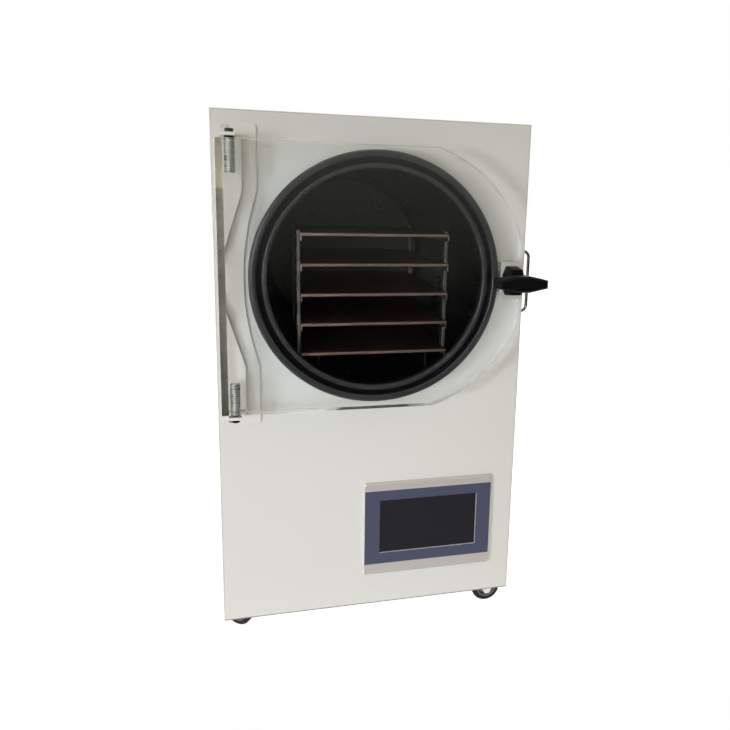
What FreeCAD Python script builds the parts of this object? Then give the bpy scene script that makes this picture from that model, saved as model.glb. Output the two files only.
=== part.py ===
import FreeCAD, Part
import math
import os

# A bench-side freeze dryer on casters: a sheet-metal cabinet, a round vacuum chamber with a
# rubber gasket at its mouth, a clear acrylic door hung on two pivots and held by a wing knob,
# a rack of five heated shelves, a touch panel, and the refrigeration set in the lower bay.
# X runs to the viewer's right, Y to the rear and Z up.  All lengths are millimetres.

# ---------------------------------------------------------------- cabinet
cabinet_width = 450.0
cabinet_depth = 600.0
body_height = 740.0          # sheet-metal body, without the casters
sheet = 1.2                  # cabinet sheet
front_return = 18.0          # fold of the front panel round the sides and the top
fold_radius = 2.0            # outer radius of the front panel's folds
flange_width = 15.0          # inward flanges of the side panels
joggle = 10.0                # lip that tucks under the front panel's fold
tray_floor = 2.0
tray_wall = 40.0
lip_gap = 2.0                # space between a lip's end and its neighbour

louvre_count = 6
louvre_pitch = 30.0
louvre_length = 120.0
louvre_reach = 6.0           # how far a hood stands out
louvre_rise = 14.0
louvre_y = 300.0
louvre_first_z = 130.0

# ---------------------------------------------------------------- chamber and gasket
chamber_offset_x = -4.0      # chamber axis from the cabinet's centre plane
chamber_below_top = 222.0    # chamber axis below the body's top
chamber_radius = 160.0       # inside
chamber_wall = 2.5
chamber_length = 405.0       # inside, from the front panel to the closed end
end_plate = 6.0              # thick flat plate that closes the chamber
rim_proud = 20.0             # chamber's edge in front of the panel
mouth_clearance = 0.5

gasket_radius = 174.8
gasket_proud = 30.0
gasket_mouth_radius = 150.0
gasket_bead = 10.8           # width of the outer sealing bead
gasket_groove_width = 7.0
gasket_groove_depth = 6.0
gasket_panel_gap = 1.0
gasket_door_gap = 0.3        # left between the bead and the shut door

coil_count = 12              # flattened copper runs along the shell
coil_first_y = 45.0
coil_length = 310.0
coil_height = 8.0            # flattened copper tube, radial size
coil_width = 16.0
foam_thickness = 18.0
foam_back = 20.0

# ---------------------------------------------------------------- ports at the rear
vacuum_offset_z = 80.0       # above the chamber axis
vacuum_bore = 12.5
vacuum_wall = 1.5
vacuum_flange_radius = 20.0
vacuum_flange_edge = 3.0
vacuum_flange_taper = 3.0
port_stand_off = 24.0
drain_offset_z = -118.0
drain_bore = 6.0
drain_wall = 2.0
port_gap = 0.5

# ---------------------------------------------------------------- rack and shelves
shelf_count = 5
shelf_half_width = 105.0
shelf_pitch = 42.0
shelf_top_offset = 62.0      # top shelf above the chamber axis
shelf_front_y = -8.0
shelf_length = 300.0
shelf_thickness = 2.5
shelf_end_flange = 11.0
shelf_hem = 4.0
shelf_fold = 1.5
post_thickness = 5.0
post_width = 15.0
post_inset = 22.0
post_above_shelf = 3.0
post_bottom_offset = -112.0
heater_thickness = 1.5
heater_half_width = 70.0
heater_margin = 25.0
rail_x = 80.0
rail_thickness = 4.0
rail_inset = 20.0

# ---------------------------------------------------------------- door
door_thickness = 20.0
door_half_height = 179.5
door_hinge_edge = 211.0      # hinge edge from the chamber axis
door_latch_edge = 201.5      # flat at the latch side, from the chamber axis
door_arc_radius = 187.0
door_arc_offset = 23.5       # arc centre towards the latch
door_chamfer = 8.0           # hinge edge, rear corner
pivot_from_edge = 17.5
sleeve_radius = 6.5
sleeve_length = 42.0
pivot_radius = 4.0
pivot_clearance = 0.05
pivot_reach = 34.0           # bolt length inside the sleeve
pivot_head_radius = 6.0      # to the corners of the hexagon
pivot_head_height = 5.0
washer_radius = 7.0
washer_thickness = 3.0
washer_play = 0.1

# ---------------------------------------------------------------- hinge bracket
bracket_thickness = 3.0
bracket_half_height = 206.0
bracket_drop = 3.0           # bracket centre below the chamber axis
bracket_left = 6.3           # from the cabinet's left side
bracket_width = 53.1
bracket_kink = 119.5
bracket_sagitta = 19.7       # how far the middle of the inner edge curves away from the gasket
bracket_corner = 5.0
riser_thickness = 8.0
riser_left = 9.0
riser_right = 40.6
riser_slant_run = 101.0
ear_thickness = 4.0
ear_width = 16.0
ear_beyond_pivot = 10.0
hinge_screw_inset = 19.0     # from the cabinet's left side
hinge_screw_end = 7.0        # from the bracket's end
hinge_screw_head = 5.5
hinge_screw_head_height = 3.0

# ---------------------------------------------------------------- latch
stud_offset = 186.0          # stud axis from the chamber axis
stud_radius = 5.0
stud_clearance = 0.06
stud_thread_room = 0.8
stud_engagement = 7.0
stud_door_hole = 7.0
stud_in_knob = 12.0
catch_width = 18.0
catch_height = 44.0
catch_thickness = 3.0
catch_chamfer = 5.0
catch_boss_radius = 9.5      # to the corners of the hexagon
catch_boss_length = 16.0
saddle_sheet = 1.2
saddle_half_height = 26.5
saddle_front_width = 29.5
saddle_back_width = 24.5
clip_radius = 8.0            # to the corners of the hexagon
clip_thickness = 1.0
clip_gap = 0.3

knob_gap = 0.2
hub_half_height = 20.5
hub_half_width = 12.5
hub_flat = 8.0               # half width of the hub's narrow top and bottom flats
hub_length = 24.5
hub_taper = 0.86
wing_half_length = 35.0
wing_half_height = 11.0
wing_tip_half_height = 5.5
wing_shoulder = 9.0
wing_thickness = 24.0
wing_edge = 2.5              # chamfer round the wing

# ---------------------------------------------------------------- side handle
handle_y = 50.0
handle_below_axis = 14.5     # handle's middle below the chamber axis
handle_pitch = 97.0
handle_rod_radius = 2.5
handle_stand_off = 29.0
handle_bend = 10.0

# ---------------------------------------------------------------- touch panel
hmi_x = 85.65
hmi_z = 127.55                # above the lower edge of the body
hmi_width = 204.0
hmi_height = 150.0
hmi_thickness = 6.0
hmi_corner = 2.5
hmi_edge = 1.2
hmi_top_strip = 12.0
hmi_bottom_strip = 18.0
hmi_side_line = 1.5
hmi_overlay_thickness = 0.8
hmi_ridge_width = 1.2
hmi_ridge_depth = 0.6
screen_width = 154.1
screen_height = 85.9
screen_rise = 4.2
screen_recess = 0.4
screen_thickness = 2.6
housing_width = 190.0
housing_height = 136.0
housing_depth = 38.0
housing_bevel = 6.0
housing_gap = 1.0

# ---------------------------------------------------------------- lower bay
compressor_x = -115.0
compressor_y = 390.0
compressor_radius = 78.0
compressor_body = 98.0
compressor_dome = 36.0
compressor_dome_flat = 46.0  # radius of the flat on top of the dome
foot_plate_x = 180.0
foot_plate_y = 140.0
foot_plate = 3.0
foot_pitch_x = 156.0
foot_pitch_y = 116.0
grommet_size = 20.0
grommet_height = 18.0
terminal_depth = 26.0
terminal_width = 60.0
terminal_height = 70.0
terminal_lift = 11.0         # cover above the foot plate

fan_x = 95.0
fan_axis_height = 124.0      # above the tray floor
shroud_size = 170.0
shroud_depth = 36.0
fan_opening = 74.0
shroud_corner = 8.0
motor_size = 44.0
motor_length = 9.0
strut_width = 8.0
strut_thickness = 4.0
strut_count = 3
shaft_radius = 4.0
shaft_clearance = 0.05
rotor_hub_radius = 25.0
rotor_depth = 20.0
rotor_gap = 1.5
blade_count = 5
blade_thickness = 2.0
blade_reach = 68.0           # tip from the fan's axis
blade_chord = 34.0
blade_pitch_angle = 28.0
grille_slot = 6.0
grille_pitch = 14.0
grille_radius = 68.0

condenser_width = 200.0
condenser_height = 214.0
condenser_depth = 26.0
condenser_header = 14.0      # width of each upright header
condenser_tube_count = 9
condenser_tube_thickness = 2.5
condenser_end_room = 16.0    # left between the outermost tubes and the headers' ends
drier_radius = 15.0
drier_length = 90.0
drier_rise = 36.0            # drier's axis above the tray floor

box_x = 120.0
box_y = 250.0
box_width = 150.0
box_depth = 110.0
box_height = 150.0
box_lid = 4.0
box_lid_height = 12.0

# ---------------------------------------------------------------- power inlet and switch
inlet_x = -150.0
inlet_z = 120.0              # above the lower edge of the body
inlet_flange_x = 32.0
inlet_flange_z = 62.0
inlet_flange = 2.0
inlet_body_x = 27.0
inlet_body_z = 52.0
inlet_body_depth = 26.0
plug_recess_x = 22.0
plug_recess_z = 16.0
plug_recess_depth = 17.0
plug_recess_drop = 12.0
pin_length = 14.0
pin_thickness = 2.0
pin_height = 4.0
pin_pitch = 7.0
rocker_rise = 13.0
rocker_half_x = 8.6
rocker_half_z = 9.3
rocker_gap = 0.4
rocker_end_gap = 1.4
rocker_well = 12.0
rocker_pivot_radius = 1.5
rocker_pivot_clearance = 0.1
rocker_pivot_depth = 1.5
rocker_pin_reach = 2.0
rocker_tilt = 9.0

# ---------------------------------------------------------------- drain valve
valve_radius = 13.0
valve_length = 40.0
valve_bore = 5.0
tail_radius = 7.5
tail_length = 20.0
stem_radius = 4.0
stem_clearance = 0.05
stem_rise = 6.0
stem_floor = 1.5             # wall left between the stem and the bore
stem_end_gap = 0.5
lever_length = 62.0
lever_width = 12.0
lever_thickness = 3.0
lever_gap = 0.5

# ---------------------------------------------------------------- casters
caster_height = 65.0
caster_inset_x = 38.0
caster_inset_y = 65.0
caster_plate = 2.5
caster_plate_size = 56.0
caster_bolt_pitch = 43.0
caster_bolt_head = 5.0
caster_bolt_head_height = 4.0
race_radius = 15.0
race_sides = 12
race_height = 6.5
kingpin_radius = 4.0
kingpin_clearance = 0.05
swivel_gap = 0.6
fork_plate = 3.0
fork_plate_front = 17.0      # plate's edge on the trailing side
fork_plate_rear = 14.0
fork_leg = 2.2
fork_gap = 2.5               # between the wheel and each fork leg
axle_radius = 3.0
axle_clearance = 0.05
axle_boss = 8.0
caster_trail = 25.0
wheel_radius = 25.0
tyre_width = 17.0
hub_radius = 17.5            # to the corners of the flats that key the tyre
hub_sides = 12
trail_angles = {"front_left": 145.0, "front_right": 0.0, "rear_left": 90.0, "rear_right": 90.0}

# ---------------------------------------------------------------- worked-out places
half_width = cabinet_width / 2
base_z = caster_height
top_z = base_z + body_height
axis_x = chamber_offset_x
axis_z = top_z - chamber_below_top
chamber_outer = chamber_radius + chamber_wall
tray_half_width = half_width - sheet
floor_z = base_z + tray_floor
end_outer_y = chamber_length + end_plate
foam_inner = chamber_outer + coil_height
foam_outer = foam_inner + foam_thickness
vacuum_z = axis_z + vacuum_offset_z
vacuum_outer = vacuum_bore + vacuum_wall
drain_z = axis_z + drain_offset_z
drain_outer = drain_bore + drain_wall
shelf_back_y = shelf_front_y + shelf_length
shelf_levels = [axis_z + shelf_top_offset - i * shelf_pitch for i in range(shelf_count)]

door_back_y = -gasket_proud - gasket_door_gap
door_front_y = door_back_y - door_thickness
door_left_x = axis_x - door_hinge_edge
door_right_x = axis_x + door_latch_edge
door_top_z = axis_z + door_half_height
door_bottom_z = axis_z - door_half_height
pivot_x = door_left_x + pivot_from_edge
pivot_y = (door_back_y + door_front_y) / 2
ear_gap = washer_thickness + washer_play

bracket_x0 = bracket_left - half_width
bracket_x1 = bracket_x0 + bracket_width
bracket_z = axis_z - bracket_drop
riser_x0 = riser_left - half_width
riser_x1 = riser_right - half_width
riser_front_y = -bracket_thickness - riser_thickness
hinge_screw_x = hinge_screw_inset - half_width

stud_x = axis_x + stud_offset
saddle_front_y = door_front_y - saddle_sheet
saddle_back_y = door_back_y + saddle_sheet
boss_front_y = -catch_thickness - catch_boss_length
stud_tip_y = boss_front_y + stud_engagement
knob_back_y = saddle_front_y - knob_gap
wing_back_y = knob_back_y - hub_length
wing_front_y = wing_back_y - wing_thickness
stud_end_y = knob_back_y - stud_in_knob

handle_centre_z = axis_z - handle_below_axis
handle_x = half_width + handle_stand_off
hmi_centre_z = base_z + hmi_z
screen_centre_z = hmi_centre_z + screen_rise

fan_z = floor_z + fan_axis_height
shroud_back_y = cabinet_depth - sheet
shroud_front_y = shroud_back_y - shroud_depth
motor_front_y = shroud_back_y - motor_length
rotor_back_y = motor_front_y - rotor_gap
rotor_front_y = rotor_back_y - rotor_depth
condenser_back_y = shroud_front_y
inlet_centre_z = base_z + inlet_z
rocker_z = inlet_centre_z + rocker_rise
valve_y0 = cabinet_depth + lip_gap
valve_y1 = valve_y0 + valve_length
valve_stem_y = (valve_y0 + valve_y1) / 2
lever_z = drain_z + valve_radius + stem_rise

fork_top_z = base_z - caster_plate - race_height - swivel_gap
fork_inner = tyre_width / 2 + fork_gap
caster_places = {
    "front_left": (-half_width + caster_inset_x, caster_inset_y),
    "front_right": (half_width - caster_inset_x, caster_inset_y),
    "rear_left": (-half_width + caster_inset_x, cabinet_depth - caster_inset_y),
    "rear_right": (half_width - caster_inset_x, cabinet_depth - caster_inset_y),
}


# ---------------------------------------------------------------- shared shapes
def vec(x, y, z):
    return FreeCAD.Vector(x, y, z)


def block(x0, x1, y0, y1, z0, z1):
    """Box between two opposite corners."""
    return Part.makeBox(x1 - x0, y1 - y0, z1 - z0, vec(x0, y0, z0))


def rod(radius, start, end):
    """Cylinder from one centre point to another."""
    return Part.makeCylinder(radius, (end - start).Length, start, end - start)


def rod_y(radius, x, z, y0, y1):
    """Cylinder along Y."""
    return rod(radius, vec(x, y0, z), vec(x, y1, z))


def rod_z(radius, x, y, z0, z1):
    """Cylinder along Z."""
    return rod(radius, vec(x, y, z0), vec(x, y, z1))


def fuse(first, others):
    """One solid from touching or overlapping pieces."""
    return first.multiFuse(list(others)).removeSplitter()


def cut(solid, tools):
    """Solid less a list of tools."""
    return solid.cut(Part.makeCompound(list(tools)))


def polygon_face(points):
    """Flat face through a list of corner vectors."""
    return Part.Face(Part.makePolygon(points + [points[0]]))


def turned_y(profile, x, z):
    """Ring or pot turned about a Y axis; the profile is a list of (radius, y)."""
    face = polygon_face([vec(r, y, 0) for r, y in profile])
    solid = face.revolve(vec(0, 0, 0), vec(0, 1, 0), 360)
    return solid.translated(vec(x, 0, z))


def turned_z(profile, x, y):
    """Ring or pot turned about a Z axis; the profile is a list of (radius, z)."""
    face = polygon_face([vec(r, 0, z) for r, z in profile])
    solid = face.revolve(vec(0, 0, 0), vec(0, 0, 1), 360)
    return solid.translated(vec(x, y, 0))


def prism_y(points, y0, y1):
    """Prism along Y over an outline of (x, z) corners."""
    face = polygon_face([vec(x, y0, z) for x, z in points])
    return face.extrude(vec(0, y1 - y0, 0))


def ring_corners(count, radius):
    """Corners of a regular polygon about the origin."""
    step = 2 * math.pi / count
    return [(radius * math.cos((i + 0.5) * step), radius * math.sin((i + 0.5) * step)) for i in range(count)]


def prism_z(count, radius, x, y, z0, z1):
    """Regular prism along Z, sized to its corners."""
    face = polygon_face([vec(x + dx, y + dy, z0) for dx, dy in ring_corners(count, radius)])
    return face.extrude(vec(0, 0, z1 - z0))


def regular_y(count, radius, x, z, y0, y1):
    """Regular prism along Y, sized to its corners."""
    return prism_y([(x + dx, z + dz) for dx, dz in ring_corners(count, radius)], y0, y1)


def edges_where(solid, test):
    """Edges whose two ends and middle all satisfy a test."""
    chosen = []
    for edge in solid.Edges:
        middle = edge.valueAt((edge.FirstParameter + edge.LastParameter) / 2)
        points = [vertex.Point for vertex in edge.Vertexes] + [middle]
        if all(test(point) for point in points):
            chosen.append(edge)
    return chosen


def at(value, target):
    """True where a coordinate lies on a target plane."""
    return abs(value - target) < 1e-4


# ---------------------------------------------------------------- cabinet panels
def caster_bolt_centres():
    """Centres of the bolts that hold the four caster plates."""
    reach = caster_bolt_pitch / 2
    return [(x + i * reach, y + j * reach)
            for x, y in caster_places.values() for i in (-1, 1) for j in (-1, 1)]


def base_tray():
    """Folded floor pan that carries the lower bay and the casters."""
    outer = block(-tray_half_width, tray_half_width, sheet, cabinet_depth - sheet,
                  base_z, base_z + tray_wall)
    hollow = block(-tray_half_width + sheet, tray_half_width - sheet, 2 * sheet,
                   cabinet_depth - 2 * sheet, floor_z, base_z + tray_wall + 1)
    return outer.cut(hollow)


def front_panel():
    """Front sheet folded back along the sides and the top, with the mouth and touch-panel openings."""
    outer = block(-half_width, half_width, 0, front_return, base_z, top_z)
    folds = edges_where(outer, lambda p: at(p.y, 0) and p.z > base_z + 1)
    folds += edges_where(outer, lambda p: at(abs(p.x), half_width) and at(p.y, 0))
    outer = outer.makeFillet(fold_radius, unique_edges(folds))
    hollow = block(-half_width + sheet, half_width - sheet, sheet, front_return + 1,
                   base_z - 1, top_z - sheet)
    mouth = rod_y(chamber_outer + mouth_clearance, axis_x, axis_z, -1, sheet + 1)
    window = block(hmi_x - housing_width / 2 - housing_gap, hmi_x + housing_width / 2 + housing_gap,
                   -1, sheet + 1, hmi_centre_z - housing_height / 2 - housing_gap,
                   hmi_centre_z + housing_height / 2 + housing_gap)
    return cut(outer, [hollow, mouth, window])


def unique_edges(edges):
    """Edges without repeats."""
    kept = []
    for edge in edges:
        if not any(edge.isSame(other) for other in kept):
            kept.append(edge)
    return kept


def louvre(z):
    """One pressed louvre on the right-hand side, open at its lower edge: (hood, slot)."""
    x = half_width - sheet
    y0 = louvre_y - louvre_length / 2
    y1 = louvre_y + louvre_length / 2
    top = z + louvre_rise

    def wedge(inset, lower):
        face = polygon_face([vec(x, y0 + inset, top - inset), vec(x, y0 + inset, lower),
                             vec(x + louvre_reach - inset, y0 + inset, lower)])
        return face.extrude(vec(0, louvre_length - 2 * inset, 0))

    hood = wedge(0, z).cut(wedge(sheet, z - 1))
    slot = block(x - 1, half_width + 1, y0 + sheet, y1 - sheet, z, top - 2 * sheet)
    return hood, slot


def side_panel(sign):
    """Side sheet with its folded flanges, front lip and a column of louvres; sign -1 is the left."""
    top = top_z - sheet
    lip_z0 = base_z + tray_wall + lip_gap
    skin = block(half_width - sheet, half_width, front_return, cabinet_depth - sheet, base_z, top)
    pieces = [
        block(half_width - 2 * sheet, half_width - sheet, front_return - joggle,
              front_return + joggle, lip_z0, top - sheet - lip_gap),
        block(half_width - flange_width, half_width, front_return, cabinet_depth - sheet,
              top - sheet, top),
        block(half_width - flange_width, half_width, cabinet_depth - 2 * sheet,
              cabinet_depth - sheet, lip_z0, top),
    ]
    louvres = [louvre(base_z + louvre_first_z + i * louvre_pitch) for i in range(louvre_count)]
    panel = cut(skin, [slot for hood, slot in louvres])
    hoods = [hood.cut(block(0, half_width, 0, cabinet_depth, base_z, top)) for hood, slot in louvres]
    panel = fuse(panel, pieces + hoods)
    if sign < 0:
        panel = panel.mirror(vec(0, 0, 0), vec(1, 0, 0))
    return panel


def top_panel():
    """Flat lid sheet with a lip under the front panel's fold."""
    lid = block(-half_width, half_width, front_return, cabinet_depth - sheet, top_z - sheet, top_z)
    reach = half_width - flange_width - lip_gap
    lip = block(-reach, reach, front_return - joggle, front_return + joggle,
                top_z - 2 * sheet, top_z - sheet)
    return fuse(lid, [lip])


def rear_panel():
    """Rear sheet with the fan grille, the port holes and the power inlet's opening."""
    y0 = cabinet_depth - sheet
    panel = block(-half_width, half_width, y0, cabinet_depth, base_z, top_z)
    tools = [
        rod_y(vacuum_outer + port_gap, axis_x, vacuum_z, y0 - 1, cabinet_depth + 1),
        rod_y(drain_outer + port_gap, axis_x, drain_z, y0 - 1, cabinet_depth + 1),
        block(inlet_x - inlet_body_x / 2, inlet_x + inlet_body_x / 2, y0 - 1, cabinet_depth + 1,
              inlet_centre_z - inlet_body_z / 2, inlet_centre_z + inlet_body_z / 2),
    ]
    steps = int(grille_radius // grille_pitch)
    for i in range(-steps, steps + 1):
        offset = i * grille_pitch
        reach = math.sqrt(grille_radius ** 2 - offset ** 2)
        tools.append(block(fan_x - reach, fan_x + reach, y0 - 1, cabinet_depth + 1,
                           fan_z + offset - grille_slot / 2, fan_z + offset + grille_slot / 2))
    return cut(panel, tools)


# ---------------------------------------------------------------- chamber
def chamber_cavity():
    """The chamber's clear inside, used to trim what stands on its wall."""
    return rod_y(chamber_radius, axis_x, axis_z, -rim_proud, chamber_length)


def chamber_shell():
    """Stainless vessel: rolled cylinder, thick flat end plate and the welded drain stub."""
    solid = turned_y([
        (chamber_radius, -rim_proud), (chamber_radius, chamber_length), (0, chamber_length),
        (0, end_outer_y), (chamber_outer, end_outer_y), (chamber_outer, -rim_proud),
    ], axis_x, axis_z)
    stub_end = valve_y0
    stub = rod_y(drain_outer, axis_x, drain_z, end_outer_y, stub_end)
    return cut(fuse(solid, [stub]), [
        rod_y(drain_bore, axis_x, drain_z, chamber_length - 1, stub_end + 1),
        rod_y(vacuum_outer, axis_x, vacuum_z, chamber_length - 1, end_outer_y + 1)])


def chamber_gasket():
    """Rubber ring pushed over the chamber's edge: outer bead, groove, inner lip and skirt."""
    front = -gasket_proud
    bead_in = gasket_radius - gasket_bead
    lip_out = bead_in - gasket_groove_width
    return turned_y([
        (gasket_mouth_radius, front), (lip_out, front),
        ((lip_out + bead_in) / 2, front + gasket_groove_depth), (bead_in, front),
        (gasket_radius, front), (gasket_radius, -gasket_panel_gap), (chamber_outer, -gasket_panel_gap),
        (chamber_outer, -rim_proud), (gasket_mouth_radius, -rim_proud),
    ], axis_x, axis_z)


def chamber_insulation():
    """Eight-sided foam jacket round the shell, with a closed back."""
    back = end_outer_y + foam_back
    corner = foam_outer / math.cos(math.radians(22.5))
    outline = [(axis_x + corner * math.cos(math.radians(45 * i + 22.5)),
                axis_z + corner * math.sin(math.radians(45 * i + 22.5))) for i in range(8)]
    return cut(prism_y(outline, sheet, back), [
        rod_y(foam_inner, axis_x, axis_z, sheet - 1, end_outer_y),
        rod_y(vacuum_outer, axis_x, vacuum_z, end_outer_y - 1, back + 1),
        rod_y(drain_outer, axis_x, drain_z, end_outer_y - 1, back + 1)])


def evaporator_coil():
    """Flattened copper runs laid along the shell, hollowed to sit on it and held by the foam."""
    half = coil_width / 2
    reach = math.sqrt(foam_inner ** 2 - half ** 2)
    seat = rod_y(chamber_outer, axis_x, axis_z, 0, chamber_length)
    runs = []
    for i in range(coil_count):
        run = block(axis_x - half, axis_x + half, coil_first_y, coil_first_y + coil_length,
                    axis_z + chamber_radius, axis_z + reach)
        run.rotate(vec(axis_x, 0, axis_z), vec(0, 1, 0), (i + 0.5) * 360.0 / coil_count)
        runs.append(run.cut(seat))
    return Part.makeCompound(runs)


def vacuum_port():
    """Tube from the closed end to a tapered clamp flange behind the cabinet."""
    end = cabinet_depth + port_stand_off
    edge = end - vacuum_flange_edge
    return turned_y([
        (vacuum_bore, chamber_length), (vacuum_outer, chamber_length),
        (vacuum_outer, edge - vacuum_flange_taper), (vacuum_flange_radius, edge),
        (vacuum_flange_radius, end), (vacuum_bore, end),
    ], axis_x, vacuum_z)


# ---------------------------------------------------------------- rack
def shelf_plate(top):
    """Heated shelf: plate with turned-down ends and a short hem at the front and back."""
    side = shelf_half_width
    plate = block(axis_x - side, axis_x + side, shelf_front_y, shelf_back_y, top - shelf_thickness, top)
    ends = [block(axis_x + s * side - (shelf_fold if s > 0 else 0),
                  axis_x + s * side + (shelf_fold if s < 0 else 0),
                  shelf_front_y, shelf_back_y, top - shelf_end_flange, top) for s in (-1, 1)]
    hems = [block(axis_x - side, axis_x + side, y, y + shelf_fold, top - shelf_hem, top)
            for y in (shelf_front_y, shelf_back_y - shelf_fold)]
    return fuse(plate, ends + hems)


def rack_posts():
    """Four flat uprights that the shelf ends are fixed to."""
    z0 = axis_z + post_bottom_offset
    z1 = shelf_levels[0] + post_above_shelf
    posts = []
    for y in (shelf_front_y + post_inset, shelf_back_y - post_inset - post_width):
        posts.append(block(axis_x - shelf_half_width - post_thickness, axis_x - shelf_half_width,
                           y, y + post_width, z0, z1))
        posts.append(block(axis_x + shelf_half_width, axis_x + shelf_half_width + post_thickness,
                           y, y + post_width, z0, z1))
    return Part.makeCompound(posts)


def shelf_heaters():
    """Silicone heating mats under the shelves."""
    return Part.makeCompound([
        block(axis_x - heater_half_width, axis_x + heater_half_width, shelf_front_y + heater_margin,
              shelf_back_y - heater_margin, top - shelf_thickness - heater_thickness,
              top - shelf_thickness) for top in shelf_levels])


def rack_rails():
    """Two upright runners on the chamber floor that the lowest shelf stands on."""
    top = shelf_levels[-1] - shelf_thickness
    cavity = chamber_cavity()
    rails = []
    for s in (-1, 1):
        x = axis_x + s * rail_x
        bar = block(x - rail_thickness / 2, x + rail_thickness / 2, shelf_front_y + rail_inset,
                    shelf_back_y - rail_inset, axis_z - chamber_radius, top)
        rails.append(bar.common(cavity))
    return Part.makeCompound(rails)


# ---------------------------------------------------------------- door
def door_panel():
    """Clear acrylic door: straight at the hinge, rounded at the latch, bored for sleeves and stud."""
    cx = axis_x + door_arc_offset
    run = math.sqrt(door_arc_radius ** 2 - door_half_height ** 2)
    rise = math.sqrt(door_arc_radius ** 2 - (door_right_x - cx) ** 2)
    start = math.atan2(door_half_height, run)
    end = math.atan2(rise, door_right_x - cx)
    middle = (start + end) / 2

    def arc_point(angle, side):
        return vec(cx + door_arc_radius * math.cos(angle), door_front_y,
                   axis_z + side * door_arc_radius * math.sin(angle))

    corners = [vec(door_left_x, door_front_y, door_bottom_z), arc_point(start, -1), arc_point(end, -1),
               arc_point(end, 1), arc_point(start, 1), vec(door_left_x, door_front_y, door_top_z)]
    edges = [
        Part.makeLine(corners[0], corners[1]),
        Part.Arc(corners[1], arc_point(middle, -1), corners[2]).toShape(),
        Part.makeLine(corners[2], corners[3]),
        Part.Arc(corners[3], arc_point(middle, 1), corners[4]).toShape(),
        Part.makeLine(corners[4], corners[5]),
        Part.makeLine(corners[5], corners[0]),
    ]
    panel = Part.Face(Part.Wire(edges)).extrude(vec(0, door_thickness, 0))
    panel = panel.makeChamfer(door_chamfer, edges_where(
        panel, lambda p: at(p.x, door_left_x) and at(p.y, door_back_y)))
    bores = [rod_z(sleeve_radius, pivot_x, pivot_y, door_top_z - sleeve_length, door_top_z + 1),
             rod_z(sleeve_radius, pivot_x, pivot_y, door_bottom_z - 1, door_bottom_z + sleeve_length),
             rod_y(stud_door_hole, stud_x, axis_z, door_front_y - 1, door_back_y + 1)]
    return cut(panel, bores)


def hinge_sleeve(end_z, direction):
    """Stainless sleeve pressed into the door from one end."""
    inner = pivot_radius + pivot_clearance
    far = end_z - direction * sleeve_length
    return turned_z([(inner, end_z), (sleeve_radius, end_z), (sleeve_radius, far), (inner, far)],
                    pivot_x, pivot_y)


def hinge_sleeves():
    return Part.makeCompound([hinge_sleeve(door_top_z, 1), hinge_sleeve(door_bottom_z, -1)])


def clamp_saddle():
    """Folded stainless clip round the door's latch edge that spreads the knob's load."""
    x1 = door_right_x + saddle_sheet
    z0 = axis_z - saddle_half_height
    z1 = axis_z + saddle_half_height
    front = block(x1 - saddle_front_width - saddle_sheet, x1, saddle_front_y, door_front_y, z0, z1)
    edge = block(door_right_x, x1, saddle_front_y, saddle_back_y, z0, z1)
    back = block(x1 - saddle_back_width - saddle_sheet, x1, door_back_y, saddle_back_y, z0, z1)
    reach = stud_radius + stud_clearance
    hole = rod_y(reach, stud_x, axis_z, saddle_front_y - 1, door_front_y + 1)
    slot = block(x1 - saddle_back_width - saddle_sheet - 1, stud_x + reach, door_back_y - 1, saddle_back_y + 1,
                 axis_z - reach, axis_z + reach)
    return cut(fuse(front, [edge, back]), [hole, slot])


# ---------------------------------------------------------------- hinge bracket
def hinge_screw_levels():
    reach = bracket_half_height - hinge_screw_end
    return [bracket_z + reach, bracket_z - reach]


def hinge_bracket():
    """Painted plate with two risers whose ears reach forward over the door's ends."""
    z0 = bracket_z - bracket_half_height
    z1 = bracket_z + bracket_half_height
    y0 = -bracket_thickness
    corners = [vec(bracket_x0, y0, z0), vec(bracket_x1, y0, z0), vec(bracket_x1, y0, bracket_z - bracket_kink),
               vec(bracket_x1, y0, bracket_z + bracket_kink), vec(bracket_x1, y0, z1), vec(bracket_x0, y0, z1)]
    hollow = vec(bracket_x1 - bracket_sagitta, y0, bracket_z)
    edges = [Part.makeLine(corners[0], corners[1]), Part.makeLine(corners[1], corners[2]),
             Part.Arc(corners[2], hollow, corners[3]).toShape(), Part.makeLine(corners[3], corners[4]),
             Part.makeLine(corners[4], corners[5]), Part.makeLine(corners[5], corners[0])]
    plate = Part.Face(Part.Wire(edges)).extrude(vec(0, bracket_thickness, 0))
    plate = plate.makeFillet(bracket_corner, edges_where(
        plate, lambda p: at(p.x, bracket_x1) and (at(p.z, z0) or at(p.z, z1))))
    pieces = []
    bores = []
    for side, door_end in ((1, door_top_z), (-1, door_bottom_z)):
        ear_in = door_end + side * ear_gap
        ear_out = ear_in + side * ear_thickness
        kink = bracket_z + side * bracket_kink
        riser = prism_y([(riser_x0, ear_out), (riser_x1, ear_out), (riser_x1, kink),
                         (riser_x0, kink - side * riser_slant_run)], riser_front_y, y0)
        front = pivot_y - ear_beyond_pivot
        ear_x0 = pivot_x - ear_width / 2
        ear_x1 = pivot_x + ear_width / 2
        ear_face = polygon_face([
            vec(riser_x0, riser_front_y, ear_in), vec(ear_x0, front, ear_in), vec(ear_x1, front, ear_in),
            vec(ear_x1, pivot_y + ear_width / 2, ear_in), vec(riser_x1, riser_front_y, ear_in)])
        pieces += [riser, ear_face.extrude(vec(0, 0, ear_out - ear_in))]
        bores.append(rod_z(pivot_radius, pivot_x, pivot_y, min(ear_in, ear_out) - 1,
                           max(ear_in, ear_out) + 1))
    return cut(fuse(plate, pieces), bores)


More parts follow.
